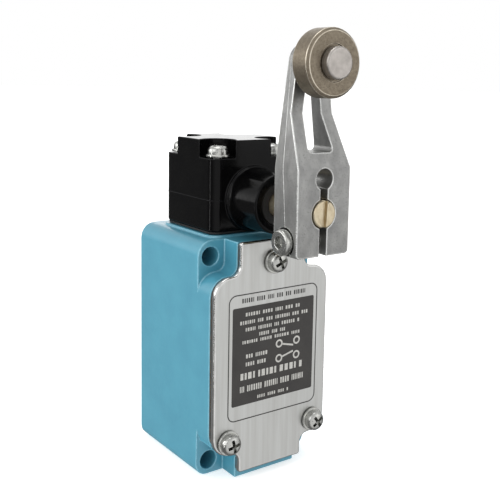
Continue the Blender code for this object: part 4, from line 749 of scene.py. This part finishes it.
@dataclass
class FastenerSet:
    """Pan head screws with their washers, all facing one way."""

    paints: Paintbox
    tools: NodeTools
    name: str
    facing: Facing
    marks: Sequence[str]
    spins: Sequence[float]
    head_radius: float = 2.9 * MM
    recess_width: float = 0.9 * MM
    recess_length: float = 3.7 * MM
    recess_depth: float = 1.4 * MM
    shank_radius: float = 1.5 * MM
    shank_length: float = 8.0 * MM
    washer_bore: float = 1.8 * MM
    washer_edge: float = 0.16 * MM

    def build(self) -> None:
        """Makes the screws and the washers, and replaces their nodes."""
        seats, turns = [], []
        height = thickness = radius = 0.0
        for mark, spin in zip(self.marks, self.spins):
            low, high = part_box(f"{self.name}_washer_{mark}")
            screw_low, screw_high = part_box(f"{self.name}_screw_{mark}")
            if self.facing is Facing.FRONT:
                seats.append(Vector(((low[0] + high[0]) / 2, low[1], (low[2] + high[2]) / 2)))
                height, thickness = low[1] - screw_low[1], high[1] - low[1]
            else:
                seats.append(Vector(((low[0] + high[0]) / 2, (low[1] + high[1]) / 2, high[2])))
                height, thickness = screw_high[2] - high[2], high[2] - low[2]
            radius = (high[0] - low[0]) / 2
            turns.append(self.facing.turn(math.radians(spin)))
        kinds = (
            ("screw", self.tools.screws,
             {"Head Radius": self.head_radius, "Head Height": height,
              "Recess Width": self.recess_width, "Recess Length": self.recess_length,
              "Recess Depth": self.recess_depth, "Shank Radius": self.shank_radius,
              "Shank Length": self.shank_length}),
            ("washer", self.tools.washers,
             {"Inner Radius": self.washer_bore, "Outer Radius": radius, "Thickness": thickness,
              "Edge": self.washer_edge}))
        for kind, tree, sizes in kinds:
            piece = self.tools.grow(f"{self.name}_{kind}s", point_mesh("seats", seats, turns),
                                    tree, self.paints["zinc_plate"], sizes)
            settle(piece, "housing", "zinc_plate",
                   *[f"{self.name}_{kind}_{mark}" for mark in self.marks])


@dataclass
class Body:
    """The enamelled housing casting."""

    paints: Paintbox
    edge: float = 0.3 * MM

    def build(self) -> None:
        """Rounds the casting's edges over."""
        body = refined("switch_body", "body_casting", self.edge, [self.paints["blue_enamel"]])
        settle(body, "housing", "blue_enamel", "switch_body")


@dataclass
class Label:
    """The printed panel on the cover: a frame line, a dark field and rows of bars."""

    paints: Paintbox
    tools: NodeTools
    centre: float = 0.45 * MM
    frame_half: float = 15.3 * MM
    frame_low: float = -15.6 * MM
    frame_high: float = 20.1 * MM
    frame_round: float = 2.4 * MM
    line: float = 0.32 * MM
    field_half: float = 14.0 * MM
    field_low: float = -11.3 * MM
    field_high: float = 16.4 * MM
    field_round: float = 0.5 * MM
    film: float = 0.02 * MM
    seed: int = 11
    title: tuple = ((18.2, -10.6, 11.3, 1.25, 0.4),)
    rows: tuple = ((14.25, -9.4, 9.6, 1.0, 0.5), (12.05, -11.2, 12.8, 1.0, 0.5),
                   (10.0, -9.3, 9.9, 1.0, 0.5), (8.1, -4.7, 5.3, 1.0, 0.5),
                   (6.5, -10.3, 10.0, 0.9, 0.5), (2.4, -9.1, -1.5, 1.1, 0.5),
                   (0.15, -9.1, -1.4, 1.1, 0.5), (-3.2, -10.9, 12.1, 1.9, 1.0),
                   (-6.8, -10.9, 11.2, 1.7, 0.45), (-9.9, -5.0, 6.2, 0.9, 0.4))
    contacts: tuple = ((5.4, 3.3, 3.9, 0.5, -14), (5.4, 0.6, 3.9, 0.5, 14))
    rings: tuple = ((2.3, 4.1), (8.5, 4.1), (2.3, -0.2), (8.5, -0.2))
    word_letters: tuple[int, int] = (3, 7)
    letter_widths: tuple = (0.9, 1.3, 1.6)
    letter_ink: float = 0.72
    letter_gap: float = 0.14
    word_gap: float = 0.75
    ring_outer: float = 1.2 * MM
    ring_inner: float = 0.72 * MM

    def _bars(self, name: str, rows: Sequence[tuple], face: float, finish: str,
              extra: Sequence[tuple] = ()) -> bpy.types.Object:
        """Rows of short upright bars that stand for words.

        Args:
            name: The new piece's name.
            rows: Middle, left, right, height and stroke of each row, in mm.
            face: The y of the face that they lie on.
            finish: The finish's name.
            extra: Single bars, as x, z, length, height and turn.

        Returns:
            The new piece.
        """
        dice = random.Random(self.seed)
        points, turns, spans = [], [], []
        for middle, left, right, height, stroke in rows:
            x = left
            while x < right:
                for _ in range(dice.randint(*self.word_letters)):
                    width = stroke * dice.choice(self.letter_widths)
                    if x + width > right:
                        break
                    points.append(Vector(((x + width / 2) * MM, face, middle * MM)))
                    turns.append(Facing.FRONT.turn(0.0))
                    spans.append((width * self.letter_ink * MM, height * MM, 1.0))
                    x += width + self.letter_gap
                x += self.word_gap
        for x, z, length, height, turn in extra:
            points.append(Vector((x * MM, face, z * MM)))
            turns.append(Facing.FRONT.turn(math.radians(turn)))
            spans.append((length * MM, height * MM, 1.0))
        return self.tools.grow(name, point_mesh(name, points, turns, spans), self.tools.marks,
                               self.paints[finish], {"Thickness": self.film})

    def build(self) -> None:
        """Prints the label on the cover's face."""
        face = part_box("cover_plate")[0][1]
        low = (self.centre - self.frame_half, self.frame_low)
        high = (self.centre + self.frame_half, self.frame_high)
        outer = rounded_loop(low, high, self.frame_round)
        inner = rounded_loop((low[0] + self.line, low[1] + self.line),
                             (high[0] - self.line, high[1] - self.line),
                             self.frame_round - self.line)
        field_loop = rounded_loop((self.centre - self.field_half, self.field_low),
                                  (self.centre + self.field_half, self.field_high),
                                  self.field_round)
        ink = self.paints["panel_ink"]
        for piece in (
                film("label_frame", outer, face, self.film, ink, inner),
                film("label_field", field_loop, face, self.film, ink),
                self._bars("label_title", self.title, face - self.film / 2, "panel_ink"),
                self._bars("label_rows", self.rows, face - self.film * 1.5, "bare_print",
                           self.contacts),
                self._rings(face - self.film * 2)):
            settle(piece, "housing", "satin_steel")

    def _rings(self, face: float) -> bpy.types.Object:
        """The four rings of the contact sign, with their tops at that y."""
        spots = [Vector((x * MM, face, z * MM)) for x, z in self.rings]
        turns = [Facing.FRONT.turn(0.0)] * len(spots)
        return self.tools.grow("label_rings", point_mesh("rings", spots, turns),
                               self.tools.washers, self.paints["bare_print"],
                               {"Inner Radius": self.ring_inner, "Outer Radius": self.ring_outer,
                                "Thickness": self.film, "Edge": self.film / 4})


@dataclass
class Cover:
    """The plated cover with its polished rim and its print."""

    paints: Paintbox
    tools: NodeTools
    rim: float = 0.55 * MM

    def build(self) -> None:
        """Rounds the rim, prints the label and puts the screws in."""
        cover = refined("cover_plate", "cover_sheet", self.rim,
                        [self.paints["satin_steel"], self.paints["polished_edge"]], steps=4)
        settle(cover, "housing", "satin_steel", "cover_plate")
        Label(self.paints, self.tools).build()
        FastenerSet(self.paints, self.tools, "cover", Facing.FRONT,
                    ("top", "lower_left", "lower_right"), (24, 12, 35)).build()


@dataclass
class Head:
    """The black head casting with its hub and parting line."""

    paints: Paintbox
    tools: NodeTools
    edge: float = 0.28 * MM
    seam: float = 0.09 * MM
    skin: float = 0.6 * MM
    hub_reach: float = 0.648

    def build(self) -> None:
        """Rounds the casting, adds the seam at the shaft's height and puts the screws in."""
        head = refined("head_housing", "head_casting", self.edge, [self.paints["black_enamel"]])
        settle(head, "housing", "black_enamel", "head_housing")
        _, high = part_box("head_housing")
        half, back = high[0], high[1]
        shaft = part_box("rotary_shaft")
        axis = (shaft[0][2] + shaft[1][2]) / 2

        def outside(point: Vector) -> bool:
            """Whether the point lies on the casting's outer skin."""
            on_side = abs(point.x) > half - self.skin
            on_back = point.y > back - self.skin
            beside_hub = abs(point.x) > half * self.hub_reach
            on_front = point.y < back - 2 * half + self.skin and beside_hub
            return on_side or on_back or on_front

        outline = section("head_housing", Vector((0, 0, axis)), Vector((0, 0, 1)), outside)
        settle(self.tools.grow("head_seam", outline, self.tools.seam, self.paints["black_enamel"],
                               {"Radius": self.seam}), "housing", "black_enamel")
        FastenerSet(self.paints, self.tools, "head", Facing.UP, ("1", "2", "3", "4"),
                    (20, 52, 8, 70)).build()


@dataclass
class Lever:
    """The cast arm, its clamp screw, and the shaft end that it grips."""

    paints: Paintbox
    tools: NodeTools
    edge: float = 0.22 * MM
    seam: float = 0.09 * MM
    seam_depth: float = 4.5 * MM
    seam_lean: float = 0.084
    shaft_edge: float = 0.15 * MM
    screw_edge: float = 0.2 * MM
    washer_edge: float = 0.1 * MM
    straight: float = 22 * MM
    taper: float = 0.55
    flank: float = 1.6 * MM
    foot: float = 1.0 * MM

    def build(self) -> None:
        """Rounds the arm and its fittings and adds the casting seam; the arm's rounded edges and
        the seam take a painted highlight.
        """
        paints = self.paints
        # The rounded edges take a bright second finish, a painted highlight.
        arm = refined("lever_arm", "lever_casting", self.edge,
                      [paints["cast_aluminium"], paints["cast_edge_highlight"]])
        settle(arm, "lever", "cast_aluminium", "lever_arm")
        low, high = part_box("lever_arm")
        shaft_low, shaft_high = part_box("rotary_shaft")
        start = Vector((0, high[1] - self.seam_depth, (shaft_low[2] + shaft_high[2]) / 2))
        outline = section("lever_arm", start, Vector((0, 1, -self.seam_lean)),
                          self._outer(low, high))
        # The seam bead takes the same bright finish, a painted highlight.
        settle(self.tools.grow("lever_seam", outline, self.tools.seam, paints["cast_edge_highlight"],
                               {"Radius": self.seam}), "lever", "cast_aluminium")
        for node, name, edge, finish in (
                ("rotary_shaft", "shaft_turned", self.shaft_edge, "shaft_brass"),
                ("clamp_screw", "clamp_screw_turned", self.screw_edge, "zinc_plate"),
                ("clamp_washer", "clamp_washer_turned", self.washer_edge, "zinc_plate")):
            settle(refined(node, name, edge, [paints[finish]]), "lever", finish, node)

    def _outer(self, low: Vector, high: Vector) -> Callable[[Vector], bool]:
        """A test for points on the arm's outer outline, which narrows towards its tip."""
        base, top = low[2] + self.straight, high[2]

        def test(point: Vector) -> bool:
            """Whether the point is outside the line that the arm's flank follows."""
            share = max(0.0, (point.z - base) / (top - base))
            flank = high[0] * (1 - self.taper * share) - self.flank
            return abs(point.x) > flank or point.z < low[2] + self.foot
        return test


@dataclass
class Roller:
    """The sintered roller on its pin."""

    paints: Paintbox
    edge: float = 0.14 * MM
    pin_edge: float = 0.22 * MM
    least: float = 25.0

    def build(self) -> None:
        """Rounds the edges of the roller and its pin; the roller's rounded edges take a painted
        highlight.
        """
        ring = refined("roller", "roller_ring", self.edge,
                       [self.paints["sintered_steel"], self.paints["sinter_edge_highlight"]],
                       least=self.least)
        settle(ring, "roller", "sintered_steel", "roller")
        pin = refined("roller_pin", "roller_pin_turned", self.pin_edge,
                      [self.paints["pin_steel"]], least=self.least)
        settle(pin, "lever", "pin_steel", "roller_pin")


@dataclass
class Springs:
    """The two coil springs, which stand on the housing."""

    paints: Paintbox
    coils: tuple = (("return_spring", "plunger_slide", 1.5 * MM),
                    ("contact_spring", "contact_slide", 1.3 * MM))

    def build(self) -> None:
        """Copies each coil, fixes it to the housing and gives it its own mesh."""
        for node, joint, travel in self.coils:
            mesh = meshed(merged(node), node + "_coil")
            mesh.materials.append(self.paints["spring_steel"])
            shaded(mesh, COIL_SHARP_ANGLE)
            coil = linked(node + "_coil", mesh)
            settle(coil, "housing", "spring_steel", node)
            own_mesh(coil)


# ---------------------------------------------------------------- studio


@dataclass
class Studio:
    """A pale floor, a soft surround, light panels and the camera, which is set in millimetres."""

    paints: Paintbox
    eye: Triple = (-132.169, -217.369, 78.307)
    azimuth: float = -36.372
    elevation: float = 7.957
    roll: float = 1.161
    lens: float = 58.69
    shift: tuple[float, float] = (-0.034, -0.1191)
    surround_climb: tuple = (-0.04, 0.16, 0.2, 0.8)
    surround_front: tuple = (-0.2, -0.75, 0.2, 0.98)
    front_to_matt: float = 0.3
    floor_gap: float = 0.05 * MM
    floor_reach: float = 6.0
    aim: Triple = (0.0, 0.0, 0.03)
    sensor: float = 36.0
    clip: tuple[float, float] = (0.01, 50.0)
    lights: tuple = (
        ("key_left", (-1.05, -0.2, 0.55), (0.7, 0.7), 2.1),
        ("front_right", (0.7, -0.95, 0.35), (0.8, 0.8), 0.9),
        ("top", (0.0, 0.1, 1.2), (0.7, 0.7), 3.0),
        ("back", (0.8, 1.05, 0.42), (0.9, 0.9), 2.4),
        ("left_back", (-1.1, 0.75, 0.4), (0.7, 0.7), 3.8),
        ("edge_strip", (-1.2, 0.29, -0.08), (0.07, 0.7), 1.3))

    def build(self) -> None:
        """Sets the whole stage."""
        self._floor()
        self._surround()
        for name, place, sides, power in self.lights:
            self._light(name, Vector(place), sides, power)
        self._camera()
        bpy.context.scene.view_settings.view_transform = "Standard"

    def _floor(self) -> None:
        """A wide pale plane under the switch."""
        level = CAD_BOX[0][2] - self.floor_gap
        reach = self.floor_reach
        mesh = bpy.data.meshes.new("floor")
        mesh.from_pydata([(-reach, -reach, level), (reach, -reach, level), (reach, reach, level),
                          (-reach, reach, level)], [], [(0, 1, 2, 3)])
        mesh.materials.append(self.paints["studio_floor"])
        floor = linked("floor", mesh)
        floor.visible_glossy = False

    def _surround(self) -> None:
        """White to the eye, and a soft dark-to-light gradient to the surfaces."""
        world = bpy.data.worlds.new("surround")
        world.use_nodes = True
        bpy.context.scene.world = world
        make = NodeMaker(world.node_tree)
        way = make.add("ShaderNodeSeparateXYZ",
                       {0: make.add("ShaderNodeTexCoord").outputs["Generated"]}).outputs
        climb = make.ramp(way[2], *self.surround_climb)
        front = make.ramp(way[1], *self.surround_front)
        path = make.add("ShaderNodeLightPath").outputs
        share = make.ramp(path["Is Glossy Ray"], low=self.front_to_matt)
        most = make.maths("MAXIMUM", climb, make.maths("MULTIPLY", front, share))
        mix = make.add("ShaderNodeMix", {0: path["Is Camera Ray"], MIX_FLOATS[0]: most,
                                         MIX_FLOATS[1]: 1.0})
        make.wire(world.node_tree.nodes["Background"], {"Color": WHITE, "Strength": mix})

    def _light(self, name: str, place: Vector, sides: tuple[float, float],
               power: float) -> None:
        """A soft light panel that faces the switch and isn't itself seen."""
        data = bpy.data.lights.new(name, "AREA")
        data.shape = "RECTANGLE"
        data.size, data.size_y = sides
        data.energy = power
        lamp = linked(name, data)
        lamp.location = place
        lamp.rotation_euler = (place - Vector(self.aim)).to_track_quat("Z", "Y").to_euler()
        lamp.visible_camera = False

    def _camera(self) -> None:
        """Places the camera, with its small roll and shift."""
        turn, rise, lean = (math.radians(v) for v in (self.azimuth, self.elevation, self.roll))
        back = Vector((math.sin(turn) * math.cos(rise), -math.cos(turn) * math.cos(rise),
                       math.sin(rise)))
        level = Vector((math.cos(turn), math.sin(turn), 0))
        upright = back.cross(level)
        right = level * math.cos(lean) + upright * math.sin(lean)
        up = upright * math.cos(lean) - level * math.sin(lean)
        data = bpy.data.cameras.new("camera")
        data.lens = self.lens
        data.sensor_width = self.sensor
        data.shift_x, data.shift_y = self.shift
        data.clip_start, data.clip_end = self.clip
        camera = linked("camera", data)
        camera.matrix_world = Matrix.Translation(Vector(self.eye) * MM) @ Matrix(
            (right, up, back)).transposed().to_4x4()
        bpy.context.scene.camera = camera


def main() -> None:
    """Dresses the frame, builds each sub-assembly in turn and sets the stage."""
    logging.basicConfig(level=logging.INFO, format="%(message)s")
    paints = Paintbox()
    tools = NodeTools()
    paints.dress_frame()
    Studio(paints).build()
    Body(paints).build()
    Cover(paints, tools).build()
    Head(paints, tools).build()
    Lever(paints, tools).build()
    Roller(paints).build()
    Springs(paints).build()


if __name__ == "__main__":
    main()
